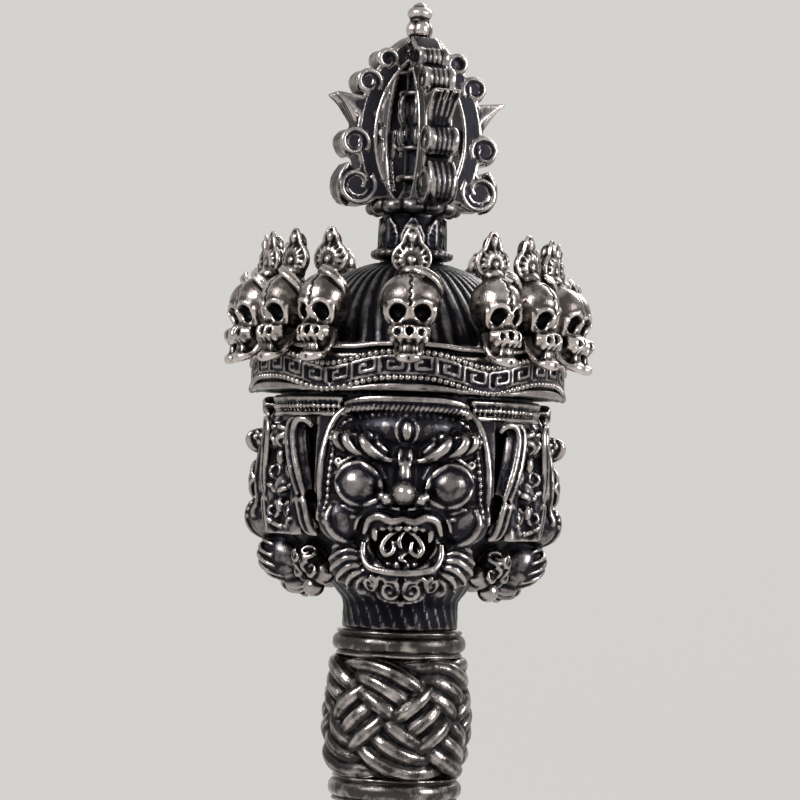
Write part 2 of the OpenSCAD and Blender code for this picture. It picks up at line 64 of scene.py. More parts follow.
lens_data = bpy.data.cameras.new("viewpoint")
lens_data.lens = LENS
lens_data.clip_start = 0.01
viewpoint = add_object("viewpoint", lens_data)
viewpoint.location = (0, -EYE_DISTANCE, EYE_HEIGHT)
sight = (Vector(AIM) - viewpoint.location).to_track_quat("-Z", "Y").to_matrix()
viewpoint.rotation_euler = (sight @ Matrix.Rotation(math.radians(ROLL), 3, "Z")).to_euler()
bpy.context.scene.camera = viewpoint

# The stage is one sheet of pale paper, laid flat under the blade's tip and curved up behind the dagger. Where
# it is looked at, it shines a little by itself, so that its tone stays even from every side and the shadow
# stays soft.
PAPER = "#e2e0dd"
PAPER_EVEN = 0.72
PAPER_WIDTH = 4
PAPER_FRONT = 2.6
PAPER_BACK = 1.25
PAPER_TOP = 1.7
PAPER_BEND = 0.5
BEND_STEPS = 12


def meshed(name, solid):
    """The mesh of a finished bmesh, which is then let go."""
    mesh = bpy.data.meshes.new(name)
    solid.to_mesh(mesh)
    solid.free()
    return mesh


def paint(code):
    """A colour written as sRGB hex, in linear light."""
    parts = [int(code[i:i + 2], 16) / 255 for i in (1, 3, 5)]
    return [p / 12.92 if p <= 0.04045 else ((p + 0.055) / 1.055) ** 2.4 for p in parts] + [1]


def new_material(name):
    """A material, its node tree and its surface."""
    material = bpy.data.materials.new(name)
    material.use_nodes = True
    return material, material.node_tree, material.node_tree.nodes["Principled BSDF"]


def add_node(tree, kind, links=None, stops=None, **settings):
    """Adds a node with its settings, its links or socket values and, on a colour ramp, its stops."""
    node = tree.nodes.new(kind)
    for key, value in settings.items():
        setattr(node, key, value)
    for socket, value in (links or {}).items():
        if isinstance(value, bpy.types.NodeSocket):
            tree.links.new(value, node.inputs[socket])
        else:
            node.inputs[socket].default_value = value
    if stops:
        ramp = node.color_ramp.elements
        ramp[0].position, ramp[0].color = stops[0]
        ramp[-1].position, ramp[-1].color = stops[-1]
        for place, colour in stops[1:-1]:
            ramp.new(place).color = colour
    return node


def looked_at(tree):
    """1 where the eye or the gloss looks straight at a surface, 0 for the light it throws on others."""
    path = add_node(tree, "ShaderNodeLightPath").outputs
    direct = add_node(tree, "ShaderNodeMath", {0: path["Is Camera Ray"], 1: path["Is Glossy Ray"]},
                      operation="ADD")
    through = {0: direct.outputs[0], 1: path["Is Transmission Ray"]}
    return add_node(tree, "ShaderNodeMath", through, operation="ADD", use_clamp=True).outputs[0]


sheet = bmesh.new()
profile = [(-PAPER_FRONT, 0)]
for turn in np.linspace(0, math.pi / 2, BEND_STEPS + 1):
    profile.append((PAPER_BACK - PAPER_BEND * (1 - math.sin(turn)), PAPER_BEND * (1 - math.cos(turn))))
profile.append((PAPER_BACK, PAPER_TOP))
edge = [sheet.verts.new((-PAPER_WIDTH / 2, y, z)) for y, z in profile]
fold = [sheet.edges.new(pair) for pair in zip(edge, edge[1:])]
swept = bmesh.ops.extrude_edge_only(sheet, edges=fold)["geom"]
far_side = [v for v in swept if isinstance(v, bmesh.types.BMVert)]
bmesh.ops.translate(sheet, vec=(PAPER_WIDTH, 0, 0), verts=far_side)
bmesh.ops.recalc_face_normals(sheet, faces=sheet.faces)
paper_mesh = meshed("backdrop_paper", sheet)
for face in paper_mesh.polygons:
    face.use_smooth = True
paper = add_object("backdrop_paper", paper_mesh)
matt_paper, tree, surface = new_material("matt_paper")
surface.inputs["Base Color"].default_value = paint(PAPER)
surface.inputs["Roughness"].default_value = 0.9
even = add_node(tree, "ShaderNodeMath", {0: looked_at(tree), 1: PAPER_EVEN}, operation="MULTIPLY").outputs[0]
flat = add_node(tree, "ShaderNodeEmission", {"Color": paint(PAPER)}).outputs[0]
blend = add_node(tree, "ShaderNodeMixShader", {0: even, 1: surface.outputs[0], 2: flat})
tree.links.new(blend.outputs[0], tree.nodes["Material Output"].inputs["Surface"])
paper_mesh.materials.append(matt_paper)

# Soft studio light in a pale room: a broad lamp from the upper left, a weaker one from the right and one from
# behind. The room looks paler than the light that it gives.
LAMPS = [("key_lamp", (-0.45, -0.5, 0.55), 0.4, 5.2), ("side_lamp", (0.55, -0.25, 0.3), 0.3, 2.6),
         ("rear_lamp", (0.25, 0.35, 0.5), 0.3, 1.6)]
LAMP_AIM = (0, 0, 0.15)
ROOM = "#dcdbda"
ROOM_GLOW = 0.42
ROOM_SEEN = 0.85
for name, place, width, watts in LAMPS:
    lamp = bpy.data.lights.new(name, "AREA")
    lamp.size = width
    lamp.energy = watts
    holder = add_object(name, lamp)
    holder.location = place
    holder.rotation_euler = (Vector(LAMP_AIM) - Vector(place)).to_track_quat("-Z", "Y").to_euler()
room = bpy.data.worlds.new("pale_room")
bpy.context.scene.world = room
room.use_nodes = True
tree = room.node_tree
tree.nodes["Background"].inputs["Color"].default_value = paint(ROOM)
glow = add_node(tree, "ShaderNodeMapRange", {"Value": looked_at(tree), "To Min": ROOM_GLOW,
                                             "To Max": ROOM_SEEN})
tree.links.new(glow.outputs["Result"], tree.nodes["Background"].inputs["Strength"])
bpy.context.scene.view_settings.view_transform = "Standard"

# The blade is forged and filed from one bar of white copper: three fins that meet in one point, each with a
# hollow ground along it. It is blackened, and rubbed back to bright metal on its edges by handling.
MM = 0.001
DAGGER = "phurba"
EDGE_HEIGHTS = (0, 8.5, 25.9, 39.5, 47, 50, 58)
EDGE_REACHES = (0.4, 3.3, 7.9, 10.3, 11, 11, 8.5)
GRIND_AT = 0.62
GRIND_W = 0.13
GRIND_DEPTH = 0.5
GRIND_FOOT, GRIND_TOP = 9, 51
RIPPLE_DEPTH = 0.1
RIPPLES = 40
# How far a point stands out from its near and from its wider surroundings where the cloth rubs it bright.
NEAR_STAND, WIDE_STAND = 0.03, 0.17


def copy_of(node, turn=0):
    """A node's solid in millimetres, its loose triangles merged, turned about the dagger's axis."""
    solid = bmesh.new()
    solid.from_mesh(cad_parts[node].data)
    bmesh.ops.scale(solid, vec=(1 / MM, 1 / MM, 1 / MM), verts=solid.verts)
    bmesh.ops.remove_doubles(solid, verts=solid.verts, dist=0.001)
    way = Matrix.Rotation(math.radians(turn), 3, "Z")
    bmesh.ops.rotate(solid, cent=(0, 0, 0), matrix=way, verts=solid.verts)
    return solid


def cast(solid, grain, rub=0):
    """One cast skin over all the shapes in a solid, with a mesh as fine as the grain, rubbed smooth."""
    mesh = meshed("pattern", solid)
    holder = add_object("pattern", mesh)
    skin = holder.modifiers.new("skin", "REMESH")
    skin.mode = "VOXEL"
    skin.voxel_size = grain
    if rub:
        wear = holder.modifiers.new("rub", "SMOOTH")
        wear.iterations = rub
    bpy.context.view_layer.update()
    finished = holder.evaluated_get(bpy.context.evaluated_depsgraph_get())
    result = bpy.data.meshes.new_from_object(finished)
    bpy.data.objects.remove(holder)
    bpy.data.meshes.remove(mesh)
    return result


def points(mesh):
    """Where each point of a mesh is."""
    co = np.empty(len(mesh.vertices) * 3, np.float32)
    mesh.vertices.foreach_get("co", co)
    return co.reshape(-1, 3).astype(float)


def normals(mesh):
    """Which way a mesh faces at each of its points."""
    ways = np.empty(len(mesh.vertices) * 3, np.float32)
    mesh.vertex_normals.foreach_get("vector", ways)
    return ways.reshape(-1, 3).astype(float)


def around(co):
    """Each point's angle from the front and its reach from the dagger's axis."""
    return np.arctan2(co[:, 0], -co[:, 1]), np.hypot(co[:, 0], co[:, 1])


def reshape(mesh, co):
    """Moves the points of a mesh to new places."""
    mesh.vertices.foreach_set("co", co.astype(np.float32).ravel())
    mesh.update()


def push(mesh, depth):
    """Moves each point of a mesh inwards by its own depth in millimetres."""
    reshape(mesh, points(mesh) - normals(mesh) * depth[:, None])


def relief(mesh, near=0.28, far=0.78, strength=1.0):
    """Keeps how far each point stands above what is near it: 0 in a hollow and 1 on a ridge."""
    co, normal = points(mesh), normals(mesh)
    ends = np.empty(len(mesh.edges) * 2, np.int32)
    mesh.edges.foreach_get("vertices", ends)
    a, b = ends.reshape(-1, 2).T
    count = len(co)
    share = np.maximum(np.bincount(a, minlength=count) + np.bincount(b, minlength=count), 1)[:, None]

    def spread(values, times):
        for _ in range(times):
            total = [np.bincount(a, v[b], count) + np.bincount(b, v[a], count) for v in values.T]
            values = (values + np.stack(total, 1) / share) / 2
        return values

    grain = np.linalg.norm(co[a] - co[b], axis=1).mean()
    close = spread(co, max(1, round((near / grain) ** 2)))
    wide = spread(close, max(2, round((far / grain) ** 2)))
    stand = ((co - close) * normal).sum(1) / NEAR_STAND + ((co - wide) * normal).sum(1) / WIDE_STAND
    level = 0.5 + 0.5 * np.tanh(stand * strength)
    mark = mesh.attributes.new("relief", "FLOAT", "POINT")
    mark.data.foreach_set("value", level.astype(np.float32))


def settle(name, mesh, finish, turn=0, body=DAGGER):
    """Turns a mesh to its place, gives it its metal and its body, and hides the solid it stands for."""
    if turn:
        mesh = mesh.copy()
        mesh.transform(Matrix.Rotation(math.radians(turn), 4, "Z"))
    if "relief" not in mesh.attributes:
        relief(mesh)
    mesh.transform(Matrix.Scale(MM, 4))
    mesh.name = name
    mesh.materials.clear()
    mesh.materials.append(finish)
    for face in mesh.polygons:
        face.use_smooth = True
    piece = add_object(name, mesh)
    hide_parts(name)
    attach(piece, body)


def patina(name, hollow, flat, ridge, dull=0.5, shine=0.24, cloud=0.3, pit=0.3):
    """White copper, blackened with sulphur and rubbed back: dark in the hollows and bright on the ridges."""
    metal, tree, surface = new_material(name)
    place = add_node(tree, "ShaderNodeTexCoord").outputs["Object"]
    stand = add_node(tree, "ShaderNodeAttribute", attribute_name="relief").outputs["Fac"]
    # Clouds of about 2 mm, as the rubbing cloth leaves them.
    clouds = add_node(tree, "ShaderNodeTexNoise", {"Vector": place, "Scale": 500, "Detail": 4,
                                                   "Roughness": 0.6})
    patch = add_node(tree, "ShaderNodeMapRange", {
        "Value": clouds.outputs["Fac"], "From Min": 0.3, "From Max": 0.7, "To Min": -cloud / 2,
        "To Max": cloud / 2})
    level = add_node(tree, "ShaderNodeMath", {0: stand, 1: patch.outputs["Result"]},
                     operation="ADD").outputs[0]
    stops = [(0.18, paint(hollow)), (0.45, paint(flat)), (0.66, paint(flat)), (1, paint(ridge))]
    colour = add_node(tree, "ShaderNodeValToRGB", {"Fac": level}, stops)
    tree.links.new(colour.outputs["Color"], surface.inputs["Base Color"])
    for socket, low, high, first, last in (("Roughness", 0.3, 0.85, dull, shine),
                                           ("Metallic", 0.1, 0.6, 0.75, 1)):
        sheen = add_node(tree, "ShaderNodeMapRange", {
            "Value": level, "From Min": low, "From Max": high, "To Min": first, "To Max": last})
        tree.links.new(sheen.outputs["Result"], surface.inputs[socket])
    surface.inputs["Specular IOR Level"].default_value = 0.2
    # The sand's grain of 0.15 mm and rubbing marks 0.05 mm wide and 1 mm long, up to 0.04 mm deep.
    grain = add_node(tree, "ShaderNodeTexNoise", {"Vector": place, "Scale": 5500, "Detail": 2})
    along = add_node(tree, "ShaderNodeMapping", {"Vector": place, "Scale": (9000, 9000, 900)})
    marks = add_node(tree, "ShaderNodeTexNoise", {"Vector": along.outputs["Vector"], "Scale": 1, "Detail": 1})
    both = add_node(tree, "ShaderNodeMath", {0: grain.outputs["Fac"], 1: marks.outputs["Fac"]},
                    operation="ADD")
    bump = add_node(tree, "ShaderNodeBump", {"Height": both.outputs[0], "Strength": pit, "Distance": 0.00004})
    tree.links.new(bump.outputs["Normal"], surface.inputs["Normal"])
    return metal


blade_metal = patina("forged_white_copper_rubbed", "#0c0c10", "#39373a", "#b9b1ae", dull=0.42, shine=0.22)
blade_mesh = cast(copy_of("blade"), grain=0.32, rub=1)
co = points(blade_mesh)
across = around(co)[1] / np.interp(co[:, 2], EDGE_HEIGHTS, EDGE_REACHES)
ends = np.clip((co[:, 2] - GRIND_FOOT) / 6, 0, 1) * np.clip((GRIND_TOP - co[:, 2]) / 4, 0, 1)
hollow_grind = GRIND_DEPTH * np.exp(-((across - GRIND_AT) / GRIND_W) ** 2)
ripple = RIPPLE_DEPTH * np.cos(across * RIPPLES) * np.exp(-((across - GRIND_AT) / 0.1) ** 2)
push(blade_mesh, (hollow_grind + ripple) * ends)
settle("blade", blade_mesh, blade_metal)

# The serpents are cast wires, laid head down in the blade's hollow flanks and brazed there. Their scales are
# chased, and their backs are rubbed bright.
SNAKE_HEAD = (0, -3.9, 12.4)
SCALE_PITCH = 0.8
SCALE_DEPTH = 0.06
NAPE = 14.5
egg = bmesh.new()
bmesh.ops.create_uvsphere(egg, u_segments=40, v_segments=26, radius=1)
egg_mesh = meshed("egg", egg)


def lump(solid, centre, radii, tilt=0, axis="Y"):
    """Adds an egg-shaped lump of clay."""
    clay_egg = egg_mesh.copy()
    lean = Matrix.Rotation(math.radians(tilt), 4, axis)
    clay_egg.transform(Matrix.Translation(centre) @ lean @ Matrix.Diagonal((*radii, 1)))
    solid.from_mesh(clay_egg)
    bpy.data.meshes.remove(clay_egg)


def settle_round(name, count, mesh, finish, first=0, body=DAGGER):
    """Settles copies of one casting, evenly round the dagger from the first one's turn."""
    relief(mesh)
    for k in range(count):
        settle(f"{name}_{k + 1}", mesh, finish, first + k * 360 / count or 360, body)


serpent_metal = patina("cast_white_copper_scaled", "#0b0b0f", "#343134", "#b9b1ae", dull=0.42, shine=0.22)
serpent = copy_of("serpent_1")
lump(serpent, SNAKE_HEAD, (1.05, 0.75, 1.7))
for side in (-1, 1):
    lump(serpent, (side * 0.55, -4.5, 12.8), (0.24, 0.24, 0.3))
serpent_mesh = cast(serpent, grain=0.17, rub=2)
x, _, z = points(serpent_mesh).T
scales = np.cos(math.pi * (x + z) / SCALE_PITCH) * np.cos(math.pi * (x - z) / SCALE_PITCH)
push(serpent_mesh, SCALE_DEPTH * np.abs(scales) * np.clip((z - NAPE) / 2, 0, 1))
settle_round("serpent", 3, serpent_mesh, serpent_metal)

# The guard is a turned and bored baluster with two rows of chased lotus petals and four chased lines. The
# blade's tang is held in its bore.
GUARD_FOOT, GUARD_TOP, GUARD_R = 58, 81, 8
GUARD_PETALS = 12
GUARD_LINES = (62.4, 63.2, 73.4, 74.2)
GUARD_LINE_W = 0.16
GUARD_LINE_DEPTH = 0.22


def at(reach, angle, height):
    """A place by its reach from the dagger's axis, its angle from the front and its height."""
    return reach * np.sin(angle), -reach * np.cos(angle), height


def petals(solid, count, reach, height, radii, shift=0.5):
    """Adds a ring of lotus petals, shifted by part of their spacing."""
    for k in range(count):
        turn = 360 * (k + shift) / count
        lump(solid, at(reach, math.radians(turn), height), radii, turn, "Z")


# Nearly black all over, with a dull grey shine on the petals' backs.
guard_metal = patina("cast_white_copper_blackened", "#0a0a0e", "#232228", "#a19a98", dull=0.5, shine=0.27)
guard = copy_of("makara_guard")
petals(guard, GUARD_PETALS, GUARD_R - 0.55, GUARD_FOOT + 1.9, (1.75, 0.7, 1.7))
petals(guard, GUARD_PETALS, 6.6, GUARD_TOP - 2.4, (1.5, 0.65, 2.1))
guard_mesh = cast(guard, grain=0.24, rub=1)
co = points(guard_mesh)
rings = sum(np.exp(-((co[:, 2] - z) / GUARD_LINE_W) ** 2) for z in GUARD_LINES)
push(guard_mesh, GUARD_LINE_DEPTH * rings * (around(co)[1] > 5.5))
settle("makara_guard", guard_mesh, guard_metal)

# Three water monsters' heads are cast and brazed round the guard. Each has a curled trunk, curls of mane and
# rows of teeth, and a fin of the blade comes out from between its jaws.
MANE_CURLS = 3
TEETH = 4


def flow(places, steps=5):
    """A smooth path through a few places, each with its radius."""
    p = np.array(places, float)
    p = np.vstack([2 * p[0] - p[1], p, 2 * p[-1] - p[-2]])
    t = np.linspace(0, 1, steps, endpoint=False)[:, None]
    parts = [0.5 * (2 * b + (c - a) * t + (2 * a - 5 * b + 4 * c - d) * t ** 2
                    + (3 * b - a - 3 * c + d) * t ** 3)
             for a, b, c, d in zip(p, p[1:], p[2:], p[3:])]
    path = np.vstack(parts + [p[-2:-1]])
    path[:, 3] = np.maximum(path[:, 3], 0.03)
    return path


def wires(solid, paths):
    """Adds a round wire along each path, as thick as the path says."""
    curve = bpy.data.curves.new("wire", "CURVE")
    curve.dimensions = "3D"
    curve.bevel_depth = 1
    curve.bevel_resolution = 2
    curve.use_fill_caps = True
    for path in paths:
        spline = curve.splines.new("POLY")
        spline.points.add(len(path) - 1)
        spline.points.foreach_set("co", np.column_stack([path[:, :3], np.ones(len(path))]).ravel())
        spline.points.foreach_set("radius", path[:, 3])
    holder = bpy.data.objects.new("wire", curve)
    mesh = bpy.data.meshes.new_from_object(holder)
    solid.from_mesh(mesh)
    bpy.data.objects.remove(holder)
    bpy.data.curves.remove(curve)
    bpy.data.meshes.remove(mesh)


monster = copy_of("makara_head_1")
for side in (-1, 1):
    lump(monster, (side * 2.1, -10.9, 72.2), (0.75, 0.6, 0.75))
    strokes = [
        # The brow, the eye's lower lid, and the upper and lower lips.
        [(0.6, -11.3, 73.6, 0.3), (1.9, -11.2, 74.3, 0.45), (3.1, -10.2, 74.2, 0.45), (3.7, -8.9, 73.2, 0.3)],
        [(0.9, -11.5, 71.0, 0.2), (2.1, -11.4, 70.9, 0.3), (3.2, -10.4, 71.4, 0.25), (3.6, -9.4, 72.2, 0.15)],
        [(0.9, -12.1, 65.8, 0.4), (2.4, -11.0, 66.0, 0.45), (3.2, -9.6, 67.4, 0.4), (3.0, -9.2, 69.2, 0.2)],
        [(1.0, -11.4, 63.2, 0.35), (2.2, -10.2, 63.6, 0.4), (2.9, -8.9, 65.2, 0.35), (3.5, -8.4, 67.3, 0.2)],
    ]
    # The mane behind the eye.
    for k in range(MANE_CURLS):
        strokes.append([(2.4 + 0.35 * k, -9.2 + 0.4 * k, 74.4 + 0.2 * k, 0.3),
                        (3.4 + 0.3 * k, -7.9 + 0.4 * k, 75.2 - k, 0.42),
                        (4.0 + 0.1 * k, -7.0, 74.6 - 1.6 * k, 0.35), (3.7, -7.2, 73.2 - 1.8 * k, 0.15)])
    wires(monster, [flow([(side * x, y, z, r) for x, y, z, r in stroke]) for stroke in strokes])
    for k in range(TEETH):
        lump(monster, (side * (0.8 + 0.6 * k), -11.5 + 0.55 * k, 64.2 + 0.25 * k), (0.2, 0.2, 0.55))
t = np.linspace(0, 6.6, 14)
coil = 1.35 * (1 - t / 7.5)
trunk_tip = (coil * np.sin(t), -11.6 - 0.3 * np.cos(t), 63.3 + coil * np.cos(t), 0.42 - 0.04 * t)
trunk = [(0, -11.9, 69.5, 0.75), (0, -12.2, 67.6, 0.7), (0, -12.3, 65.8, 0.6), (0, -11.9, 64.7, 0.45)]
wires(monster, [flow(trunk), np.column_stack(trunk_tip)])
settle_round("makara_head", 3, cast(monster, grain=0.19, rub=1), serpent_metal)

# The four collars are turned rings, pushed over the rod between the castings. Each has a swelling band
# between two narrow fillets, worn bright, with a few knocks.
COLLAR_FEET = (130.4, 114.2, 97.2, 81.0)
COLLAR_R = 7.4
COLLAR_PROFILE = [(2.8, 0.03), (6.6, 0.03), (6.95, 0.06), (7.08, 0.2), (7.02, 0.38), (6.86, 0.48),
                  (6.9, 0.58), (7.2, 0.72), (7.4, 1.0), (7.48, 1.3), (7.48, 1.65), (7.42, 1.95), (7.22, 2.26),
                  (6.92, 2.42), (6.86, 2.52), (7.0, 2.64), (7.06, 2.8), (6.95, 2.93), (6.6, 2.97),
                  (2.8, 2.97)]
KNOCKS = 14
KNOCK_R = 0.5
KNOCK_DEPTH = 0.06


def lathe(outline, foot, steps):
    """A ring turned from an outline of reaches and heights over its foot."""
    ring = bmesh.new()
    corners = [ring.verts.new((r, 0, foot + z)) for r, z in outline]
    line = [ring.edges.new(pair) for pair in zip(corners, corners[1:] + corners[:1])]
    bmesh.ops.spin(ring, geom=corners + line, cent=(0, 0, 0), axis=(0, 0, 1), angle=2 * math.pi, steps=steps,
                   use_merge=True)
    bmesh.ops.remove_doubles(ring, verts=ring.verts, dist=0.001)
    bmesh.ops.recalc_face_normals(ring, faces=ring.faces)
    return ring


collar_metal = patina("turned_white_copper_bright", "#151417", "#474342", "#bfb7b3", dull=0.36, shine=0.16,
                      cloud=0.5, pit=0.35)
rng = np.random.default_rng(108)
for k, foot in enumerate(COLLAR_FEET):
    collar_mesh = meshed("collar", lathe(COLLAR_PROFILE, foot, steps=144))
    co = points(collar_mesh)
    wear = np.zeros(len(co))
    for angle, z in rng.uniform((-math.pi, 0.5), (math.pi, 2.5), (KNOCKS, 2)):
        away = np.linalg.norm(co - at(COLLAR_R, angle, foot + z), axis=1)
        wear += KNOCK_DEPTH * np.exp(-(away / KNOCK_R) ** 2)
    push(collar_mesh, wear)
    relief(collar_mesh, strength=0.5)
    settle(f"collar_{k + 1}", collar_mesh, collar_metal)

# Each knot is one casting in the form of a Turk's head knot: two endless bands, each of three cords side by
# side, that pass over and under each other four times round a sleeve. The cords' backs are rubbed bright.
KNOT_FEET = {"lower_knot": 84.0, "upper_knot": 117.2}
KNOT_H = 13.2
KNOT_REACH = 6.95
KNOT_TURN = math.radians(24)
SLEEVE = [(5.25, 0.05), (6.6, 0.05), (6.6, KNOT_H - 0.05), (5.25, KNOT_H - 0.05)]
CORD_R = 1.06
CORD_GAP = 1.35
WAVE_H = 4.35
BULGE = 0.55


def round_wire(reach, angle, height, r):
    """A wire round the dagger. Its reach, height and radius may each be one value for all its angles."""
    return np.column_stack(np.broadcast_arrays(*at(reach, angle, height), r))


def knot_cord(middle, turned, lane):
    """One cord of a knot: its lane of three, in a band that is turned by an angle round the knot."""
    u = np.linspace(0, 6 * math.pi, 361)
    phase = np.mod(u, 2 * math.pi)
    half = np.mod(phase, math.pi)
    nearer = np.minimum(half, math.pi - half)
    over = np.where(nearer < math.pi / 4, np.sin(2 * nearer), -np.cos(4 * half))
    over = np.where(phase >= math.pi, -over, over)
    rise, run = -WAVE_H * np.sin(u), KNOT_REACH * 2 / 3
    slope = np.hypot(rise, run)
    gap = lane * (CORD_GAP + 0.7 * np.abs(np.sin(u)) ** 0.7)
    angle = u * 2 / 3 + turned + KNOT_TURN - gap * rise / slope / KNOT_REACH
    height = middle + WAVE_H * np.cos(u) + gap * run / slope
    reach = KNOT_REACH + BULGE * over - 0.3 * np.cos(u) ** 2
    return round_wire(reach, angle, height, CORD_R * (0.86 + 0.14 * over))


knot_metal = patina("cast_white_copper_cord", "#09090c", "#3c3838", "#c8c0bc", dull=0.38, shine=0.14,
                    cloud=0.35)
for name, foot in KNOT_FEET.items():
    knot = lathe(SLEEVE, foot, steps=72)
    middle = foot + KNOT_H / 2
    wires(knot, [knot_cord(middle, turned, lane) for turned in (0, math.pi / 3) for lane in (-1, 0, 1)])
    knot_mesh = cast(knot, grain=0.22, rub=1)
    relief(knot_mesh, strength=0.7)
    settle(name, knot_mesh, knot_metal)

# The grip is an eight-sided drum between two rings of lotus petals, cast hollow and slipped over the rod. Its
# eight panels have a chased line round them.
GRIP_FOOT, GRIP_H = 100.2, 14
GRIP_MIDDLE = GRIP_FOOT + GRIP_H / 2
GRIP_PETALS = 16
PANEL_R = 6
PANEL_TOP = 4.2
PANEL_MARGIN = 0.75
PANEL_HALF_H = 3.4
PANEL_LINE_W = 0.13
PANEL_LINE_DEPTH = 0.16
grip = copy_of("grip")
for height in (GRIP_FOOT + 2.5, GRIP_FOOT + GRIP_H - 2.5):
    petals(grip, GRIP_PETALS, 6.15, height, (1.15, 0.5, 1.7))
grip_mesh = cast(grip, grain=0.22, rub=1)
co = points(grip_mesh)
turn, reach = around(co)
from_middle = np.abs(co[:, 2] - GRIP_MIDDLE)
from_corner = np.radians(np.abs(np.mod(np.degrees(turn), 45) - 22.5)) * PANEL_R
chased = (np.exp(-((from_corner - PANEL_MARGIN) / PANEL_LINE_W) ** 2)
          + np.exp(-((from_middle - PANEL_HALF_H) / PANEL_LINE_W) ** 2))
drum = np.clip((PANEL_TOP - from_middle) / 0.4, 0, 1) * (reach > 5)
push(grip_mesh, PANEL_LINE_DEPTH * np.clip(chased, 0, 1) * drum)
settle("grip", grip_mesh, guard_metal)

# The tie rod, its nut and washer and the two sleeves are turned from mild steel and stay as the CAD made
# them. Fine turning marks run round them, 0.1 mm apart.
TURNED = ("tie_rod", "tie_nut", "tie_washer", "upper_knot_tube", "lower_knot_tube")
turned_steel, tree, surface = new_material("turned_mild_steel")
surface.inputs["Metallic"].default_value = 1
place = add_node(tree, "ShaderNodeTexCoord").outputs["Object"]
marks = add_node(tree, "ShaderNodeTexWave", {"Vector": place, "Scale": 3000, "Distortion": 0.4},
                 wave_type="BANDS", bands_direction="Z")
stain = add_node(tree, "ShaderNodeTexNoise", {"Vector": place, "Scale": 350, "Detail": 3}).outputs["Fac"]
greys = [(0.3, paint("#77787c")), (0.5, paint("#9c9da1")), (0.75, paint("#b4b5b8"))]
colour = add_node(tree, "ShaderNodeValToRGB", {"Fac": stain}, greys)
tree.links.new(colour.outputs["Color"], surface.inputs["Base Color"])
rough = add_node(tree, "ShaderNodeMapRange", {"Value": stain, "To Min": 0.25, "To Max": 0.45})
tree.links.new(rough.outputs["Result"], surface.inputs["Roughness"])
bump = {"Height": marks.outputs["Fac"], "Strength": 0.3, "Distance": 0.00002}
bump = add_node(tree, "ShaderNodeBump", bump)
tree.links.new(bump.outputs["Normal"], surface.inputs["Normal"])
for name in TURNED:
    steel_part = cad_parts[name].data
    steel_part.materials.clear()
    steel_part.materials.append(turned_steel)

# The head casting: a neck, a cone under the jaws and the drum that carries the faces, bored for the relics.
# It is left black from the sulphur bath, because no cloth reaches it.
NECK_TOP = 140
NECK_FLUTES = 30
FLUTE_DEPTH = 0.12
black_metal = patina("cast_white_copper_sulphur_black", "#08080d", "#18171e", "#7c7877", dull=0.5, shine=0.3,
                     pit=0.5)
core_mesh = cast(copy_of("head_core"), grain=0.4)
co = points(core_mesh)
turn, reach = around(co)
neck = np.clip((NECK_TOP - co[:, 2]) / 2, 0, 1) * (reach > 5.5)
push(core_mesh, FLUTE_DEPTH * neck * np.abs(np.sin(turn * NECK_FLUTES / 2 + co[:, 2] * 0.9)))
settle("head_core", core_mesh, black_metal)

# The three faces are alike: each is cast by itself and brazed to the drum, with a hood's smooth edge and a
# beaded hairline round it, curled brows, three bulging eyes, an open mouth with its tongue in flames and a
# beard of curls.
BALL_R, BALL_Z = 16.4, 149.5
FACE_HALF_W = 9.7
BEARD_FOOT, FACE_TOP = 138.5, 159.25
DRUM_R, JAW_FOOT, JAW_TOP, NECK_R = 14.2, 136.6, 146, 6.5
HOOD_R = 15.6
MOUTH_R = 13
BEAD_PITCH = 0.74


def both_sides(strokes):
    """Strokes of one half of a face, and the same strokes mirrored."""
    return strokes + [[(-u, z, out, r) for u, z, out, r in stroke] for stroke in strokes]


def arch(half):
    """A stroke that crosses the middle, from its left half, which ends there."""
    return half + [(-u, z, out, r) for u, z, out, r in half[-2::-1]]


def dent(mesh, centre, radii):
    """Presses the shape of an egg into the front of a mesh."""
    co = points(mesh)
    q = (co - centre) / radii
    inside = (q ** 2).sum(1) < 1
    floor = centre[1] + radii[1] * np.sqrt(np.clip(1 - q[:, 0] ** 2 - q[:, 2] ** 2, 0, None))
    co[:, 1] = np.where(inside, np.maximum(co[:, 1], floor), co[:, 1])
    reshape(mesh, co)


def groove(mesh, lines, width, depth):
    """Chases a round groove along lines of points."""
    marks = np.vstack(lines)[:, :3]
    tree = KDTree(len(marks))
    for k, mark in enumerate(marks):
        tree.insert(mark, k)
    tree.balance()
    near = np.array([tree.find(point)[2] for point in points(mesh)])
    push(mesh, depth * np.clip(1 - (near / width) ** 2, 0, None) ** 2)


def seat(mesh):
    """Keeps a casting's back on the drum and on the cone under the jaws."""
    co = points(mesh)
    wall = np.clip((co[:, 2] - JAW_FOOT) / (JAW_TOP - JAW_FOOT), 0, 1) * (DRUM_R - NECK_R) + NECK_R + 0.02
    co[:, :2] *= np.maximum(wall / around(co)[1], 1)[:, None]
    reshape(mesh, co)


def laid(skin, strokes, round_r=17.0):
    """Strokes of way round the head, height, lift and radius, laid on the skin. A lift over 9 is a reach."""
    paths = []
    for stroke in strokes:
        path = flow(stroke)
        for k, (u, z, lift, r) in enumerate(path):
            if lift < 9:
                way = Vector(at(1, u / round_r, 0))
                hit = skin.ray_cast(way * 40 + Vector((0, 0, z)), -way)[0]
                lift += hit.xy.length if hit else MOUTH_R
            path[k] = (*at(lift, u / round_r, z), r)
        paths.append(path)
    return paths


def curl(u, z, size, r, turns, start, lift=0.25):
    """A flat spiral on the face, from its outer end to its eye."""
    t = np.linspace(0, 1, 10)
    arc = np.radians(start + 360 * turns * t)
    width = size * (1 - 0.8 * t)
    path = (u + width * np.cos(arc), z + width * np.sin(arc), lift, r * (1 - 0.45 * t))
    return np.column_stack(np.broadcast_arrays(*path))


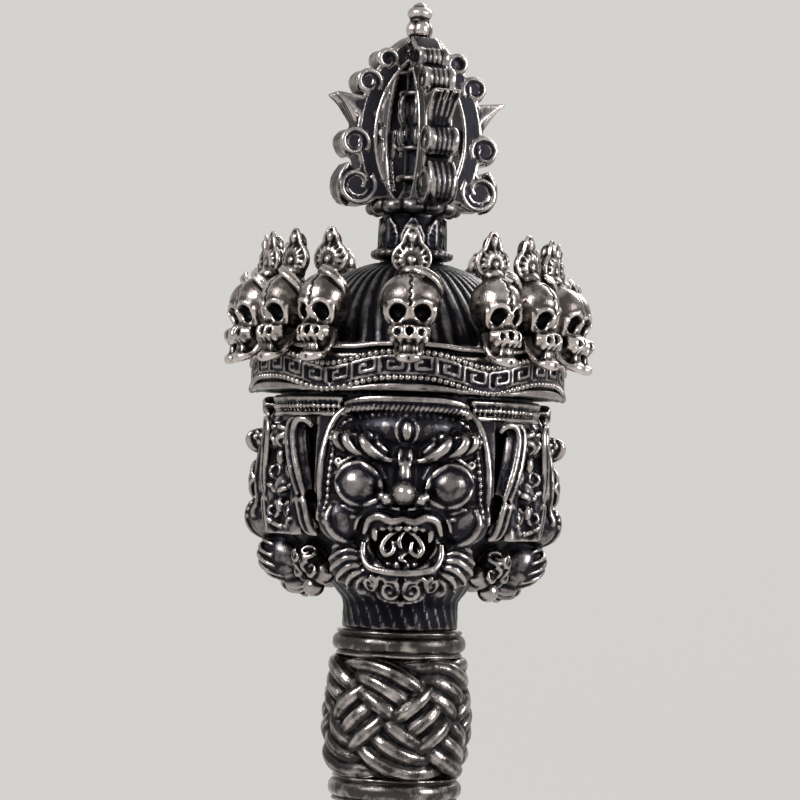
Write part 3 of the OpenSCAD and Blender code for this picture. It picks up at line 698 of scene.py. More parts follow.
# Black in the carving, dark grey on the cheeks, and bright along the brows, lips and curls.
face_metal = patina("cast_white_copper_face", "#08080d", "#28272d", "#b4adaa", dull=0.4, shine=0.2)
clay = bmesh.new()
bmesh.ops.create_uvsphere(clay, u_segments=96, v_segments=64, radius=BALL_R,
                          matrix=Matrix.Translation((0, 0, BALL_Z)))
for spot, way in (((FACE_HALF_W, 0, 0), (1, 0, 0)), ((-FACE_HALF_W, 0, 0), (-1, 0, 0)),
                  ((0, -4.6, 0), (0, 1, 0)), ((0, 0, BEARD_FOOT), (0, 0, -1)), ((0, 0, FACE_TOP), (0, 0, 1)),
                  ((4.6, 0, BEARD_FOOT), (9, 0, -4.5)), ((-4.6, 0, BEARD_FOOT), (-9, 0, -4.5)),
                  ((8.3, 0, 158.6), (1, 0, 0.9)), ((-8.3, 0, 158.6), (-1, 0, 0.9))):
    whole = clay.verts[:] + clay.edges[:] + clay.faces[:]
    cut = bmesh.ops.bisect_plane(clay, geom=whole, plane_co=spot, plane_no=way, clear_outer=True)
    bmesh.ops.holes_fill(clay, edges=[e for e in cut["geom_cut"] if isinstance(e, bmesh.types.BMEdge)])
# The forehead, the nose's root and bridge, the upper lip and the chin, then the brows, cheeks and jaws.
lump(clay, (0, -9.6, 155.6), (7.4, 7.1, 3.5))
lump(clay, (0, -15.2, 152.2), (1.5, 2.0, 1.7))
lump(clay, (0, -16.5, 150.4), (1.0, 1.9, 2.3))
lump(clay, (0, -14.2, 146.5), (4.7, 2.5, 1.5))
lump(clay, (0, -11.4, 140.2), (5.8, 4.2, 2.7))
for side in (-1, 1):
    lump(clay, (side * 4.4, -14.3, 153.6), (3.9, 2.5, 1.35), -side * 16)
    lump(clay, (side * 6.4, -13.5, 145.8), (2.8, 2.6, 2.7))
    lump(clay, (side * 5.1, -11.9, 141.3), (2.7, 2.9, 2.8))
# The hood's brim over the brow.
u = np.linspace(-8, 8, 13)
wires(clay, [flow(round_wire(HOOD_R, u / 17, 158.15 - 1.3 * (u / 8) ** 4, 1 - 0.75 * (u / 8) ** 6))])
face_mesh = cast(clay, grain=0.22, rub=2)
# The eyes' sockets and the mouth are pressed in, and get their balls, tongue and teeth.
for side in (-1, 1):
    dent(face_mesh, (side * 5.0, -17.6, 149.8), (2.9, 2.7, 2.5))
dent(face_mesh, (0, -17.2, 143.0), (4.1, 5.4, 2.75))
clay = bmesh.new()
clay.from_mesh(face_mesh)
lump(clay, (0, -18.1, 148.75), (1.35, 2.0, 1.35))
lump(clay, (0.1, -16.55, 155.35), (0.6, 0.65, 1.1))
lump(clay, (0, -13.0, 142.3), (2.7, 1.9, 1.5))
lump(clay, (0, -12.6, 136.9), (0.5, 0.6, 0.55))
for side in (-1, 1):
    lump(clay, (side * 1.75, -17.35, 148.1), (0.85, 1.4, 0.78))
    lump(clay, (side * 4.85, -14.9, 149.6), (2.45, 2.4, 2.3))
    lump(clay, (side * 1.35, -12.9, 138.1), (1.35, 1.5, 1.3))
    lump(clay, (side * 3.7, -11.6, 138.7), (1.3, 1.7, 1.3))
    lump(clay, (side * 6.0, -11.6, 140.3), (1.5, 1.7, 1.7), side * 30)
    lump(clay, (side * 0.6, -15.9, 151.2), (0.35, 0.5, 0.35))
    for k in range(3):
        lump(clay, (side * (0.45 + 0.85 * k), -15.7 + 0.25 * k, 145.0), (0.4, 0.4, 0.5))
    lump(clay, (side * 3.05, -15.1, 144.5), (0.38, 0.4, 1.15), side * 8)
    for k in range(3):
        lump(clay, (side * (0.5 + 0.95 * k), -14.7 + 0.3 * k, 140.95), (0.4, 0.4, 0.5))
skin = BVHTree.FromBMesh(clay)
strokes = both_sides([
    # Brows: three flames each, curled at their tips.
    [(1.4, 152.1, 0.1, 0.3), (2.3, 152.3, 0.25, 0.5), (3.3, 152.9, 0.35, 0.62), (4.2, 153.8, 0.4, 0.6),
     (4.6, 154.6, 0.4, 0.45), (4.2, 155.0, 0.4, 0.32), (3.8, 154.6, 0.35, 0.25)],
    [(1.9, 153.0, 0.1, 0.22), (2.8, 153.7, 0.2, 0.36), (3.3, 154.7, 0.2, 0.2)],
    [(4.8, 152.8, 0.1, 0.35), (5.6, 153.3, 0.3, 0.5), (6.15, 154.2, 0.4, 0.5), (6.15, 155.1, 0.4, 0.4),
     (5.7, 155.5, 0.4, 0.3), (5.3, 155.1, 0.35, 0.25), (5.6, 154.7, 0.3, 0.2)],
    [(6.7, 153.1, 0.1, 0.3), (7.3, 153.9, 0.3, 0.42), (7.45, 154.8, 0.35, 0.35), (7.1, 155.3, 0.3, 0.25),
     (6.8, 154.9, 0.3, 0.18)],
    # Eyelids, the fold above and the bags below.
    [(2.2, 148.5, 0.2, 0.25), (3.0, 150.4, 0.2, 0.42), (4.7, 151.7, 0.25, 0.46), (6.4, 151.3, 0.25, 0.42),
     (7.6, 149.8, 0.15, 0.24)],
    [(2.2, 148.5, 0.2, 0.25), (3.3, 147.7, 0.2, 0.38), (4.8, 147.4, 0.2, 0.42), (6.4, 148.0, 0.2, 0.36),
     (7.6, 149.8, 0.15, 0.24)],
    [(2.1, 150.2, 0.05, 0.15), (3.1, 151.8, 0.1, 0.24), (4.9, 152.7, 0.1, 0.26), (6.9, 152.0, 0.1, 0.24),
     (8.0, 150.5, 0.05, 0.15)],
    [(2.9, 147.5, 0.1, 0.2), (4.1, 146.9, 0.1, 0.3), (5.4, 146.7, 0.1, 0.28), (6.8, 147.2, 0.1, 0.18)],
    [(3.1, 146.7, 0.05, 0.15), (4.4, 146.1, 0.1, 0.24), (5.7, 146.0, 0.05, 0.15)],
    # Frown lines, the moustache, the cheek's lower edge and the beard's fans.
    [(0.55, 151.7, 0.1, 0.16), (0.6, 152.7, 0.15, 0.24), (0.5, 153.6, 0.05, 0.14)],
    [(0.5, 147.0, 0.2, 0.24), (2.2, 147.2, 0.2, 0.3), (3.9, 146.9, 0.15, 0.3), (5.0, 145.9, 0.15, 0.26),
     (5.4, 144.6, 0.1, 0.18)],
    [(7.9, 147.2, 0.05, 0.2), (8.2, 145.6, 0.1, 0.34), (7.6, 144.1, 0.15, 0.38), (6.3, 143.1, 0.2, 0.36),
     (5.4, 142.6, 0.15, 0.22)],
    [(5.0, 142.1, 0.1, 0.24), (6.3, 142.35, 0.3, 0.42), (7.7, 141.9, 0.35, 0.36), (9.6, 141.2, 0.2, 0.15)],
    [(4.9, 141.5, 0.1, 0.26), (6.2, 141.6, 0.35, 0.44), (7.7, 140.9, 0.35, 0.36), (9.5, 140.0, 0.2, 0.15)],
    [(4.8, 140.9, 0.1, 0.26), (6.0, 140.75, 0.35, 0.42), (7.4, 139.8, 0.35, 0.34), (8.9, 138.9, 0.2, 0.15)],
    [(4.7, 140.3, 0.1, 0.26), (5.7, 139.9, 0.35, 0.4), (6.8, 138.9, 0.35, 0.3), (7.9, 138.1, 0.2, 0.14)],
    [(6.4, 143.0, 0.2, 0.26), (7.8, 142.9, 0.3, 0.36), (9.2, 142.5, 0.2, 0.15)],
    [(4.5, 139.7, 0.1, 0.24), (5.3, 139.2, 0.3, 0.36), (6.0, 138.3, 0.4, 0.18)],
    # Beard curls, and the hook of hair by each temple.
    curl(1.4, 138.3, 1.25, 0.36, 1.7, 60), curl(3.9, 138.9, 0.95, 0.3, 1.5, 100),
    curl(7.6, 152.0, 0.55, 0.2, 1.2, 200), [(0.3, 139.6, 0.2, 0.26), (1.4, 139.75, 0.3, 0.34),
                                            (2.7, 139.5, 0.3, 0.3), (3.0, 138.6, 0.2, 0.18)],
    [(0.25, 137.0, 0.1, 0.2), (1.0, 136.95, 0.1, 0.26), (2.2, 137.2, 0.1, 0.2)],
    # Tongue of flames.
    [(0.7, 144.6, 14.9, 0.2), (1.9, 143.9, 15.0, 0.3), (2.5, 142.8, 15.1, 0.34), (1.9, 142.0, 15.2, 0.32),
     (1.05, 142.5, 15.1, 0.28), (1.2, 143.6, 14.9, 0.22)],
])
strokes += [
    [(0.2, 144.7, 14.9, 0.2), (-0.4, 143.6, 15.1, 0.28), (-0.1, 142.7, 15.1, 0.2)],
    [(0.5, 142.3, 15.0, 0.2), (-0.3, 141.7, 15.2, 0.26), (0.6, 141.3, 15.2, 0.2)],
    # Lips: a thick bow above and a thin rim below.
    arch([(-4.5, 144.2, 15.9, 0.3), (-3.8, 145.7, 16.5, 0.42), (-2.5, 146.15, 16.9, 0.52),
          (-1.2, 145.7, 17.1, 0.52), (0, 145.95, 17.1, 0.44)]),
    arch([(-4.6, 143.4, 15.6, 0.28), (-4.6, 142.0, 15.7, 0.36), (-3.8, 140.8, 16.0, 0.4),
          (-2.2, 140.35, 16.2, 0.4), (0, 140.15, 16.3, 0.4)]),
    # The third eye's rim.
    [(0.1 + 1.15 * math.sin(a), 155.35 + 1.5 * math.cos(a), 0.02, 0.15)
     for a in np.linspace(0, 2 * math.pi, 13)],
    # The hood's smooth edge.
    arch([(-9.7, 145.5, 0, 0.35), (-9.9, 149, 0.05, 0.42), (-9.8, 153, 0.1, 0.46), (-9.3, 156.2, 0.1, 0.46),
          (-7.9, 157.7, 0.1, 0.48), (-5, 158.6, 0.1, 0.5), (0, 158.75, 0.1, 0.5)]),
]
# The fringe under the hood.
for u in np.arange(-7.0, 7.1, 0.54):
    z = 157.75 - (u / 9) ** 4
    strokes.append([(u - 0.2, z - 0.35, 0.05, 0.12), (u, z, 0.08, 0.17), (u + 0.24, z + 0.35, 0.05, 0.12)])
wires(clay, laid(skin, strokes))
# The beads of the hairline.
hairline = [(-8.6, 145.4, 0.05, 0.3), (-8.85, 149, 0.05, 0.3), (-8.6, 152, 0.1, 0.3), (-8.3, 155, 0.1, 0.3),
            (-7.3, 156.3, 0.1, 0.28), (-4, 156.95, 0.05, 0.28), (0, 157.05, 0.05, 0.28),
            (4, 156.95, 0.05, 0.28), (7.3, 156.3, 0.1, 0.28), (8.3, 154.6, 0.1, 0.3), (8.6, 152, 0.1, 0.3),
            (8.85, 149, 0.05, 0.3), (8.6, 145.4, 0.05, 0.3)]
hairline = laid(skin, [hairline])[0]
steps = np.linalg.norm(np.diff(hairline[:, :3], axis=0), axis=1)
steps = np.concatenate([[0], np.cumsum(steps)])
for way in np.arange(0, steps[-1], BEAD_PITCH):
    x, y, z, r = [np.interp(way, steps, hairline[:, k]) for k in range(4)]
    lump(clay, (x, y, z), (r, r, r))
face_mesh = cast(clay, grain=0.175, rub=1)
# The third eye's slit.
slit = [flow([(0.1 + dx, -17.2, 154.6, 1), (0.1 + dx * 1.3, -17.3, 155.35, 1), (0.1 + dx, -17.2, 156.1, 1)],
             steps=8) for dx in (-0.2, 0.2)]
groove(face_mesh, slit, width=0.22, depth=0.1)
seat(face_mesh)
settle_round("face", 3, face_mesh, face_metal)

# Between the faces hang three pairs of long ears, each pair cast back to back as one panel. Each ear has a
# double rim that hooks forwards over its hollow, and a long lobe below it.
CORNICE_R = 14.6
CORNICE_HALF = 8.2
ear = copy_of("ear_panel_1", -60)
for side in (-1, 1):
    wires(ear, [flow([(side * 3.0, -15.0, 155.6, 0.9), (side * 3.5, -14.9, 152.5, 0.9),
                      (side * 4.3, -14.5, 148.6, 0.8)]),
                flow([(side * 4.2, -14.4, 147.2, 0.85), (side * 4.6, -14.2, 145.6, 0.85),
                      (side * 5.2, -13.8, 144.4, 0.7)])])
skin = BVHTree.FromBMesh(ear)
ear_strokes = []
# A double rim round the hollow and down the lobe, and curls of the hollow inside it.
for back, thick in ((0, 0.42), (0.95, 0.38)):
    ear_strokes.append([(5.0 - back, 155.5 + back * 0.2, 15.4, thick * 0.6), (4.5 - back, 156.3, 15.9, thick),
                        (3.5 - back, 156.2, 16.2, thick), (3.1 - back, 154.9, 16.35, thick),
                        (3.4 - back, 152.6, 16.35, thick), (4.0 - back, 150.3, 16.2, thick),
                        (4.6 - back, 148.2, 15.9, thick * 0.8)])
    ear_strokes.append([(3.9 - back, 147.5, 15.9, thick * 0.7), (4.5 - back, 147.6, 15.9, thick),
                        (4.8 - back, 146.6, 15.8, thick), (5.0 - back, 145.4, 15.6, thick),
                        (5.4 - back * 0.8, 144.3, 15.3, thick), (6.0 - back * 0.5, 143.9, 15.0, thick * 0.6)])
ear_strokes += [
    curl(1.3, 153.6, 1.1, 0.3, 1.5, 90), curl(1.35, 150.7, 0.95, 0.28, 1.4, 270),
    curl(1.6, 146.4, 1.0, 0.3, 1.5, 90),
    [(0.35, 155.6, 0.2, 0.2), (1.1, 155.4, 0.3, 0.32), (2.1, 154.6, 0.2, 0.2)],
    [(0.4, 144.6, 0.2, 0.2), (1.6, 144.9, 0.3, 0.34), (2.7, 145.6, 0.2, 0.2)],
    [(0.4, 148.4, 0.2, 0.2), (1.5, 148.9, 0.3, 0.34), (2.6, 149.2, 0.2, 0.2)],
]
wires(ear, laid(skin, both_sides(ear_strokes), 15.3))
# A beaded cornice over the ears closes the drum under the crown.
for height, r in ((158.75, 0.45), (157.0, 0.3)):
    wires(ear, [round_wire(CORNICE_R, np.linspace(-CORNICE_HALF, CORNICE_HALF, 41) / CORNICE_R, height, r)])
for u in np.arange(-7.7, 7.8, 0.7):
    lump(ear, at(CORNICE_R + 0.05, u / (CORNICE_R + 0.05), 157.88), (0.34, 0.34, 0.34))
lump(ear, (0, -15.7, 152.2), (0.55, 0.5, 0.9))
lump(ear, (0, -15.6, 146.9), (0.5, 0.5, 0.8))
ear_mesh = cast(ear, grain=0.18, rub=1)
seat(ear_mesh)
settle_round("ear_panel", 3, ear_mesh, face_metal, 60)

# Under each pair of ears hangs a jewel, cast as a cluster of curls with a drop below it and brazed to the
# panel's foot.
# Black between the curls and bright along their backs.
jewel_metal = patina("cast_white_copper_jewel", "#0a0a0e", "#272526", "#b1aaa7", dull=0.4, shine=0.18)
jewel = copy_of("ear_pendant_1", -60)
skin = BVHTree.FromBMesh(jewel)
curls = both_sides([curl(1.45, 140.0, 1.0, 0.32, 1.4, 100, 0.2), curl(1.1, 142.0, 0.8, 0.26, 1.3, 250, 0.2)])
wires(jewel, laid(skin, curls + [curl(0, 141.4, 0.75, 0.26, 1.4, 90, 0.35)], 11.5))
lump(jewel, (0, -11.1, 138.0), (0.75, 0.75, 0.85))
lump(jewel, (0, -11.1, 139.0), (0.5, 0.5, 0.4))
settle_round("ear_pendant", 3, cast(jewel, grain=0.17, rub=1), jewel_metal, 60)

# The crown band is a cast ring, slipped over the head's spigot, with a running key pattern raised round it.
# Its pattern arches over each face and over each pair of ears.
BAND_R = 17.4
BAND_FOOT, BAND_TOP = 159.6, 164.6
WAVE = 0.7
KEYS = 36
KEY_FOOT = BAND_FOOT + 1.25
KEY_H = 1.75
KEY_ALONG = (0, 0, 0.82, 0.82, 0.3, 0.3, 0.56)
KEY_UP = (0.1, 1, 1, 0.28, 0.28, 0.68, 0.68)


def wave(angle):
    """Rise of the band's lines at an angle from the front, in flat arches with short dips between them."""
    return WAVE * (1 - 2 * np.abs(np.sin(3 * angle)) ** 3.2)


steps = np.arange(30) / 5
band_lines = []
for k in range(KEYS):
    angle = 2 * math.pi / KEYS * (k + np.interp(steps, range(7), KEY_ALONG))
    height = KEY_FOOT + KEY_H * np.interp(steps, range(7), KEY_UP) + wave(angle)
    band_lines.append(round_wire(BAND_R, angle, height, 0.26))
rounds = np.linspace(0, 2 * math.pi, 241)
for height in (KEY_FOOT, KEY_FOOT + KEY_H):
    band_lines.append(round_wire(BAND_R, rounds, height + wave(rounds), 0.17))
# A smooth moulding under the beads, and one above them.
for height in (BAND_FOOT + 0.2, BAND_TOP - 0.3):
    band_lines.append(round_wire(BAND_R - 0.05, rounds, height + np.maximum(wave(rounds), -0.1) * 0.5, 0.3))
band = copy_of("crown_band")
wires(band, band_lines)
band_mesh = cast(band, grain=0.18)
relief(band_mesh, strength=1.3)
settle("crown_band", band_mesh, guard_metal)

# Two strings of beads lie in the band's grooves, above and below the keys. Each is cast in one with a thin
# wire, and follows the band's rise and fall.
STRING_HEIGHTS = {"bead_string_lower": BAND_FOOT + 0.75, "bead_string_upper": BAND_FOOT + 3.5}
BEADS = 160
BEAD_R = 0.35
# Grey beads, each rubbed bright where it stands out furthest.
bead_metal = patina("cast_white_copper_bead", "#121116", "#3b3837", "#c0b9b6", dull=0.35, shine=0.17)
for name, height in STRING_HEIGHTS.items():
    string = bmesh.new()
    for k in range(BEADS):
        angle = 2 * math.pi * k / BEADS
        spot = Matrix.Translation(at(BAND_R + 0.12, angle, height + wave(angle)))
        bmesh.ops.create_icosphere(string, subdivisions=2, radius=BEAD_R, matrix=spot)
    wires(string, [round_wire(BAND_R, rounds, height + wave(rounds), 0.14)])
    string_mesh = meshed(name, string)
    relief(string_mesh, strength=0.3)
    settle(name, string_mesh, bead_metal)

# Fifteen skulls stand on the band, cast one by one and brazed: five over each face, the middle one larger.
# Each has a hanging jaw and a flaming jewel on its crown, tied with a ribbon.
SKULL_TURNS = (-50.5, -32, 0, 32, 50.5)
SKULL_W = 5.5
MIDDLE_SKULL_W = 6.7


def skull_pattern(width, foot):
    """A skull of the given width over the height of its jaw's foot, facing the front."""
    r = width / 2
    bone = bmesh.new()
    lump(bone, (0, -17.3, foot + 6.9), (r, 3.1, 3.0))
    lump(bone, (0, -17.5, foot + 6.0), (r * 0.97, 2.95, 2.3))
    lump(bone, (0, -17.9, foot + 3.4), (r * 0.6, 1.9, 2.6))
    lump(bone, (0, -17.2, foot + 2.2), (r * 0.45, 2.0, 1.6))
    # The lower jaw's two branches, the cheekbones and the lower jaw.
    jaws = both_sides([[(1.15, -19.0, 1.0, 0.38), (1.4, -18.0, 2.0, 0.36), (r * 0.52, -17.4, 3.6, 0.45)]])
    jaws += [arch([(-r * 0.56, -18.9, 3.4, 0.8), (-r * 0.3, -19.9, 3.4, 0.86), (0, -20.1, 3.4, 0.86)]),
             arch([(-1.2, -18.9, 1.0, 0.42), (-0.85, -19.9, 0.75, 0.55), (0, -20.2, 0.7, 0.62)])]
    wires(bone, [flow(path) + (0, 0, foot, 0) for path in jaws])
    mesh = cast(bone, grain=0.16, rub=2)
    # The eyes, the nostrils, the nose and the cleft of the chin.
    for side in (-1, 1):
        dent(mesh, (side * r * 0.43, -20.7, foot + 5.4), (r * 0.345, 2.1, 1.08))
        dent(mesh, (side * r * 0.4, -21.2, foot + 3.45), (r * 0.14, 1.2, 0.62))
    dent(mesh, (0, -21.3, foot + 3.6), (0.46, 1.5, 0.66))
    dent(mesh, (0, -21.0, foot + 0.6), (0.13, 0.6, 0.6))
    bone = bmesh.new()
    bone.from_mesh(mesh)
    for k in range(5):
        x = (k - 2) * r * 0.26
        lump(bone, (x, -20.05 + 0.1 * x * x, foot + 2.75), (r * 0.115, 0.42, 0.48))
        lump(bone, (x * 0.5, -19.95 + 0.1 * x * x, foot + 1.65), (0.19, 0.26, 0.62))
    skin = BVHTree.FromBMesh(bone)
    # The sockets' lower rims meet at the bridge of the nose, and the seam comes down between the brows.
    rims = both_sides([
        [(0.12, foot + 6.1, 0, 0.16), (r * 0.16, foot + 5.0, 0, 0.22), (r * 0.4, foot + 4.32, 0, 0.24),
         (r * 0.66, foot + 4.45, 0, 0.24), (r * 0.82, foot + 5.2, 0, 0.22), (r * 0.86, foot + 6.2, 0, 0.16)],
        [(r * 0.1, foot + 6.35, 0, 0.2), (r * 0.4, foot + 6.75, 0, 0.26), (r * 0.75, foot + 6.5, 0, 0.2)],
    ])
    seam = laid(skin, [[(0.12 * math.sin(z * 7), foot + z, 0, 1) for z in np.linspace(6.3, 9.6, 12)]], 20)[0]
    wires(bone, laid(skin, rims, 20))
    ribbon = [(r * 0.05, -18.7, foot + 10.2, 0.2), (r * 0.45, -19.0, foot + 9.75, 0.3),
              (r * 0.8, -18.6, foot + 9.0, 0.3), (r * 0.98, -17.9, foot + 8.1, 0.24),
              (r, -17.4, foot + 7.3, 0.16)]
    wires(bone, [flow(ribbon), flow([(x + 0.1, y + 0.3, z + 0.42, t * 0.8) for x, y, z, t in ribbon])])
    # The jewel: a leaf-shaped flame with a ring of petals in front, under a hood with a knob.
    lump(bone, (0, -16.6, foot + 10.0), (1.3, 1.3, 0.9))
    lump(bone, (0, -16.1, foot + 11.5), (1.85, 0.95, 1.75))
    lump(bone, (0, -15.95, foot + 13.1), (0.95, 0.8, 1.35))
    lump(bone, (0, -16.55, foot + 13.75), (0.45, 0.5, 0.62))
    lump(bone, (0, -17.1, foot + 11.3), (0.36, 0.3, 0.36))
    flames = both_sides([[(0.7, -16.7, 9.9, 0.2), (1.6, -16.55, 10.5, 0.24), (1.98, -16.45, 11.5, 0.26),
                          (1.65, -16.45, 12.4, 0.26), (1.0, -16.5, 13.1, 0.24), (0.75, -16.55, 13.9, 0.24),
                          (0.35, -16.5, 14.6, 0.22), (0, -16.45, 14.8, 0.22)]])
    for a in np.radians(range(-150, 151, 25)):
        across, up = math.sin(a), math.cos(a)
        flames.append([(0.5 * across, -17.0, 11.3 + 0.5 * up, 0.12),
                       (1.05 * across, -16.98, 11.35 + 1.05 * up, 0.2),
                       (1.55 * across, -16.8, 11.4 + 1.5 * up, 0.15)])
    wires(bone, [flow(path, 4) + (0, 0, foot, 0) for path in flames])
    mesh = cast(bone, grain=0.175, rub=1)
    groove(mesh, [flow(seam)], width=0.24, depth=0.16)
    relief(mesh)
    return mesh


# The brightest of all, because the skulls stand out furthest: pale domes with clouds of grey, black sockets.
skull_metal = patina("cast_white_copper_skull", "#0a090c", "#5c5552", "#cec5c0", dull=0.4, shine=0.16,
                     cloud=0.4, pit=0.4)
skull_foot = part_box("skull_3")[0].z / MM
middle_skull = skull_pattern(MIDDLE_SKULL_W, skull_foot)
side_skull = skull_pattern(SKULL_W, skull_foot)
for k in range(15):
    pattern = middle_skull if k % 5 == 2 else side_skull
    turn = k // 5 * 120 + SKULL_TURNS[k % 5]
    settle(f"skull_{k + 1}", pattern, skull_metal, turn or 360)

# The hair inside the crown is a cast dome, bored for the thunderbolt's plug. It is combed in fine locks,
# which run from the plug down to the band.
LOCKS = 54
COMB_DEPTH = 0.28
HAIR_FOOT = 164.8
dome_mesh = cast(copy_of("hair_dome"), grain=0.28, rub=1)
co = points(dome_mesh)
angle, reach = around(co)
comb = np.abs(np.cos(angle * LOCKS / 2 + 0.25 * co[:, 2] + 0.3 * np.sin(angle * 9)))
comb *= np.clip((reach - 4) / 5, 0, 1)
upper = np.clip((co[:, 2] - HAIR_FOOT) / 0.3, 0, 1) * (reach > 3.6)
push(dome_mesh, COMB_DEPTH * (1 - comb) * upper)
settle("hair_dome", dome_mesh, black_metal)

# The thunderbolt's column is one casting with the plain plug below it that closes the relic chamber. A flange
# with a bead edge sits on the hair, and eight veined leaves grow up from it to the hub.
LIFT = "vajra_top"
COLUMN_FOOT = 175.6
COLUMN_R = 3.65
LEAVES = 8
FLANGE_R, FLANGE_Z = 4.3, 175.4
FLANGE_BEAD_R = 0.42
column = copy_of("vajra_stem")
for k in range(LEAVES):
    leaf = [[(0, 0.2, 0.3), (0, 2.0, 0.3), (0, 3.8, 0.2)]]
    for side in (-1, 1):
        leaf.append([(side * 0.2, 0.1, 0.2), (side * 0.31, 1.2, 0.24), (side * 0.26, 2.4, 0.2),
                     (0, 3.9, 0.2)])
        for up in (0.3, 0.95, 1.6, 2.2):
            leaf.append([(0, up, 0.18), (side * 0.14, up + 0.45, 0.18), (side * 0.27, up + 0.7, 0.16)])
    for vein in leaf:
        turn, up, r = np.array(vein).T
        wires(column, [flow(round_wire(COLUMN_R, turn + 2 * math.pi * k / LEAVES, COLUMN_FOOT + up, r), 4)])
for angle in np.radians(range(0, 360, 12)):
    lump(column, at(FLANGE_R, angle, FLANGE_Z), (FLANGE_BEAD_R, FLANGE_BEAD_R, FLANGE_BEAD_R))
settle("vajra_stem", cast(column, grain=0.19, rub=1), black_metal, body=LIFT)

# The hub is a cast lotus of twelve petals on the column's top. The prongs' feet are brazed to it, and the
# spindle stands in its middle.
HUB_PETALS = 12
CLEFT_DEPTH = 0.3
hub = copy_of("vajra_hub")
petals(hub, HUB_PETALS, 4.7, 180.6, (0.95, 0.75, 0.8), shift=0)
hub_mesh = cast(hub, grain=0.18, rub=1)
turn, reach = around(points(hub_mesh))
push(hub_mesh, CLEFT_DEPTH * (1 - np.abs(np.cos(turn * HUB_PETALS / 2))) ** 3 * (reach > 4.2))
settle("vajra_hub", hub_mesh, black_metal, body=LIFT)

# The spindle stands inside the cage and holds it together, with the finial on its top end. It carries three
# whorls of six leaves between rings.
SPINDLE_R = 1.75
SPINDLE_RINGS = ((184.0, 0.4), (187.4, 0.32), (193.6, 0.32), (196.2, 0.4))
WHORLS = ((187.6, 1), (190.2, 1), (193.4, -1))
spindle = copy_of("vajra_spindle")
for height, r in SPINDLE_RINGS:
    wires(spindle, [round_wire(SPINDLE_R, rounds[::10], height, r)])
for height, up in WHORLS:
    for angle in np.radians(range(0, 360, 60)):
        reaches, rises, radii = np.array([(1.6, 0, 0.4), (2.0, 1.1, 0.42), (1.9, 2.2, 0.15)]).T
        wires(spindle, [flow(round_wire(reaches, angle, height + up * rises, radii), 4)])
settle("vajra_spindle", cast(spindle, grain=0.18, rub=1), black_metal, body=LIFT)

# The four prongs are cast alike. Each is an arch of parallel ribs with scrolls down its back, a leaf that
# flares outwards at its shoulder and a drooping scroll at its foot.
CAGE_FOOT = 181.4
PRONG_HALF = 1.5
PRONG_TURN = 20
ARCH_BACK, ARCH_UP, ARCH_R = 6.5, 7.2, 11.6
SCROLLS = ((4.15, 15.7, 1.05, 1), (6.2, 13.0, 1.3, 1), (7.65, 6.1, 1.5, 1), (7.2, 1.5, 1.95, -1))


def prong_wire(places, steps=4):
    """A smooth wire on the front prong, by sideways place, reach, height over the foot and radius."""
    return flow([(x, -reach, CAGE_FOOT + up, r) for x, reach, up, r in places], steps)


def scroll(reach, up, size, r, flip=1):
    """A leaf's curled tip on both side faces of a prong: up from the arch, over, and round to its eye."""
    turns = np.radians(np.linspace(215, -230, 17))
    sizes = size * np.interp(np.linspace(0, 1, 17), [0, 0.45, 1], [1, 1, 0.22])
    return [prong_wire([(side * (PRONG_HALF - 0.02), reach + s * math.cos(t), up + flip * s * math.sin(t),
                         r * (0.6 + 0.4 * s / size)) for t, s in zip(turns, sizes)], 3) for side in (-1, 1)]


def inner_reach(up):
    """How far the arch's inner edge is from the axis, at a height over the cage's foot."""
    return math.sqrt(ARCH_R ** 2 - (up - ARCH_UP) ** 2) - ARCH_BACK


# Black between the ribs and bright along them and on the scrolls' edges.
prong_metal = patina("cast_white_copper_prong", "#0b0b10", "#2c2b31", "#bbb4b1", dull=0.4, shine=0.19,
                     cloud=0.35)
prong = copy_of("vajra_prong_1", -PRONG_TURN)
lines = []
# Three ribs run along each side of the arch.
for bow, r in ((11.85, 0.3), (12.75, 0.18), (13.6, 0.24)):
    for side in (-1, 1):
        lines.append(prong_wire([(side * (PRONG_HALF - 0.05), bow * math.cos(a) - ARCH_BACK,
                                  ARCH_UP + bow * math.sin(a), r)
                                 for a in np.radians(np.linspace(-26, 52, 14))], 3))
# Four scrolls down its back, with ribs over their rounded edges.
for reach, up, size, flip in SCROLLS:
    lines += scroll(reach, up, size, 0.34, flip) + scroll(reach, up, size * 0.62, 0.2, flip)
    bow = size + 0.02
    for x in (-1.1, -0.55, 0, 0.55, 1.1):
        lines.append(prong_wire([(x, reach + bow * math.cos(a), up + bow * math.sin(a), 0.26)
                                 for a in np.radians(np.linspace(-75, 75, 9))], 3))
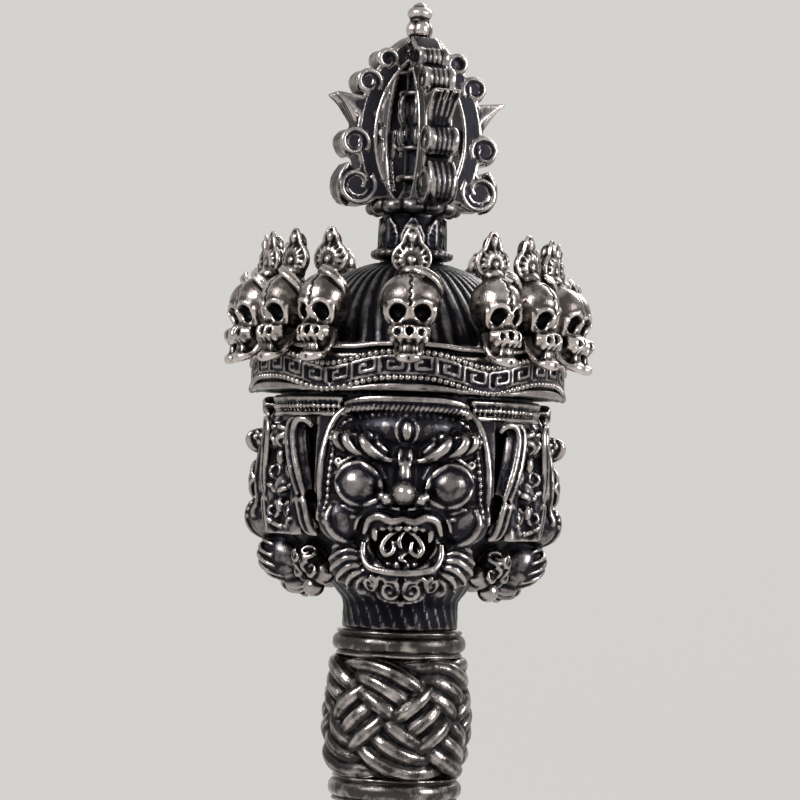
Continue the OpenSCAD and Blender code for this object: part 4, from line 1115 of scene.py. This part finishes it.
# The flared leaf: veins that spread from the arch to three tips.
for spread in (-1.35, -0.7, 0, 0.7, 1.35):
    for tip_reach, tip_up in ((10.05, 11.6), (9.0, 11.0), (8.0, 10.3)):
        lines.append(prong_wire([(spread * 0.6, 6.9, 6.9, 0.22), (spread * 0.8, 7.5, 8.6, 0.27),
                                 (spread, 7.5 + (tip_reach - 7.5) * 0.55, 8.6 + (tip_up - 8.6) * 0.7, 0.25),
                                 (spread, tip_reach, tip_up, 0.2)]))
# The drooping leaf at the foot.
for side in (-1, -0.5, 0, 0.5, 1):
    lines.append(prong_wire([(side * 1.3, 8.3, 3.9, 0.25), (side * 1.3, 9.2, 2.3, 0.34),
                             (side * 1.1, 9.3, 0.8, 0.34), (side * 0.8, 8.7, -0.4, 0.28),
                             (side * 0.3, 7.9, -0.8, 0.15)]))
# Inside the arch: two small hooks and a row of beads.
for up, size in ((8.1, 0.62), (6.5, 0.52)):
    root = inner_reach(up)
    for x in (-0.9, 0, 0.9):
        lines.append(prong_wire([(x, root, up - 1.0, 0.24), (x, root - 0.25, up, 0.26),
                                 (x, root - size, up + 0.45, 0.26), (x, root - size - 0.5, up - 0.1, 0.2)]))
for k in range(7):
    up = 1.6 + 0.55 * k
    for side in (-1, 1):
        lump(prong, (side * 1.1, -inner_reach(up), CAGE_FOOT + up), (0.3, 0.3, 0.24))
wires(prong, lines)
settle_round("vajra_prong", 4, cast(prong, grain=0.19, rub=1), prong_metal, PRONG_TURN,
             LIFT)

# The finial is cast and screws on the spindle over the prongs: a four-lobed drum, and a pointed bud on two
# narrow rings.
finial = bmesh.new()
for k in range(4):
    lump(finial, at(0.62, math.radians(90 * k + PRONG_TURN), 200.9), (0.95, 0.95, 1.15))
for height, radii in ((199.98, (1.1, 1.1, 0.38)), (201.95, (1.12, 1.12, 0.32)), (202.75, (1.42, 1.42, 0.92)),
                      (203.3, (0.85, 0.85, 0.78))):
    lump(finial, (0, 0, height), radii)
settle("finial", cast(finial, grain=0.09, rub=2), skull_metal, body=LIFT)
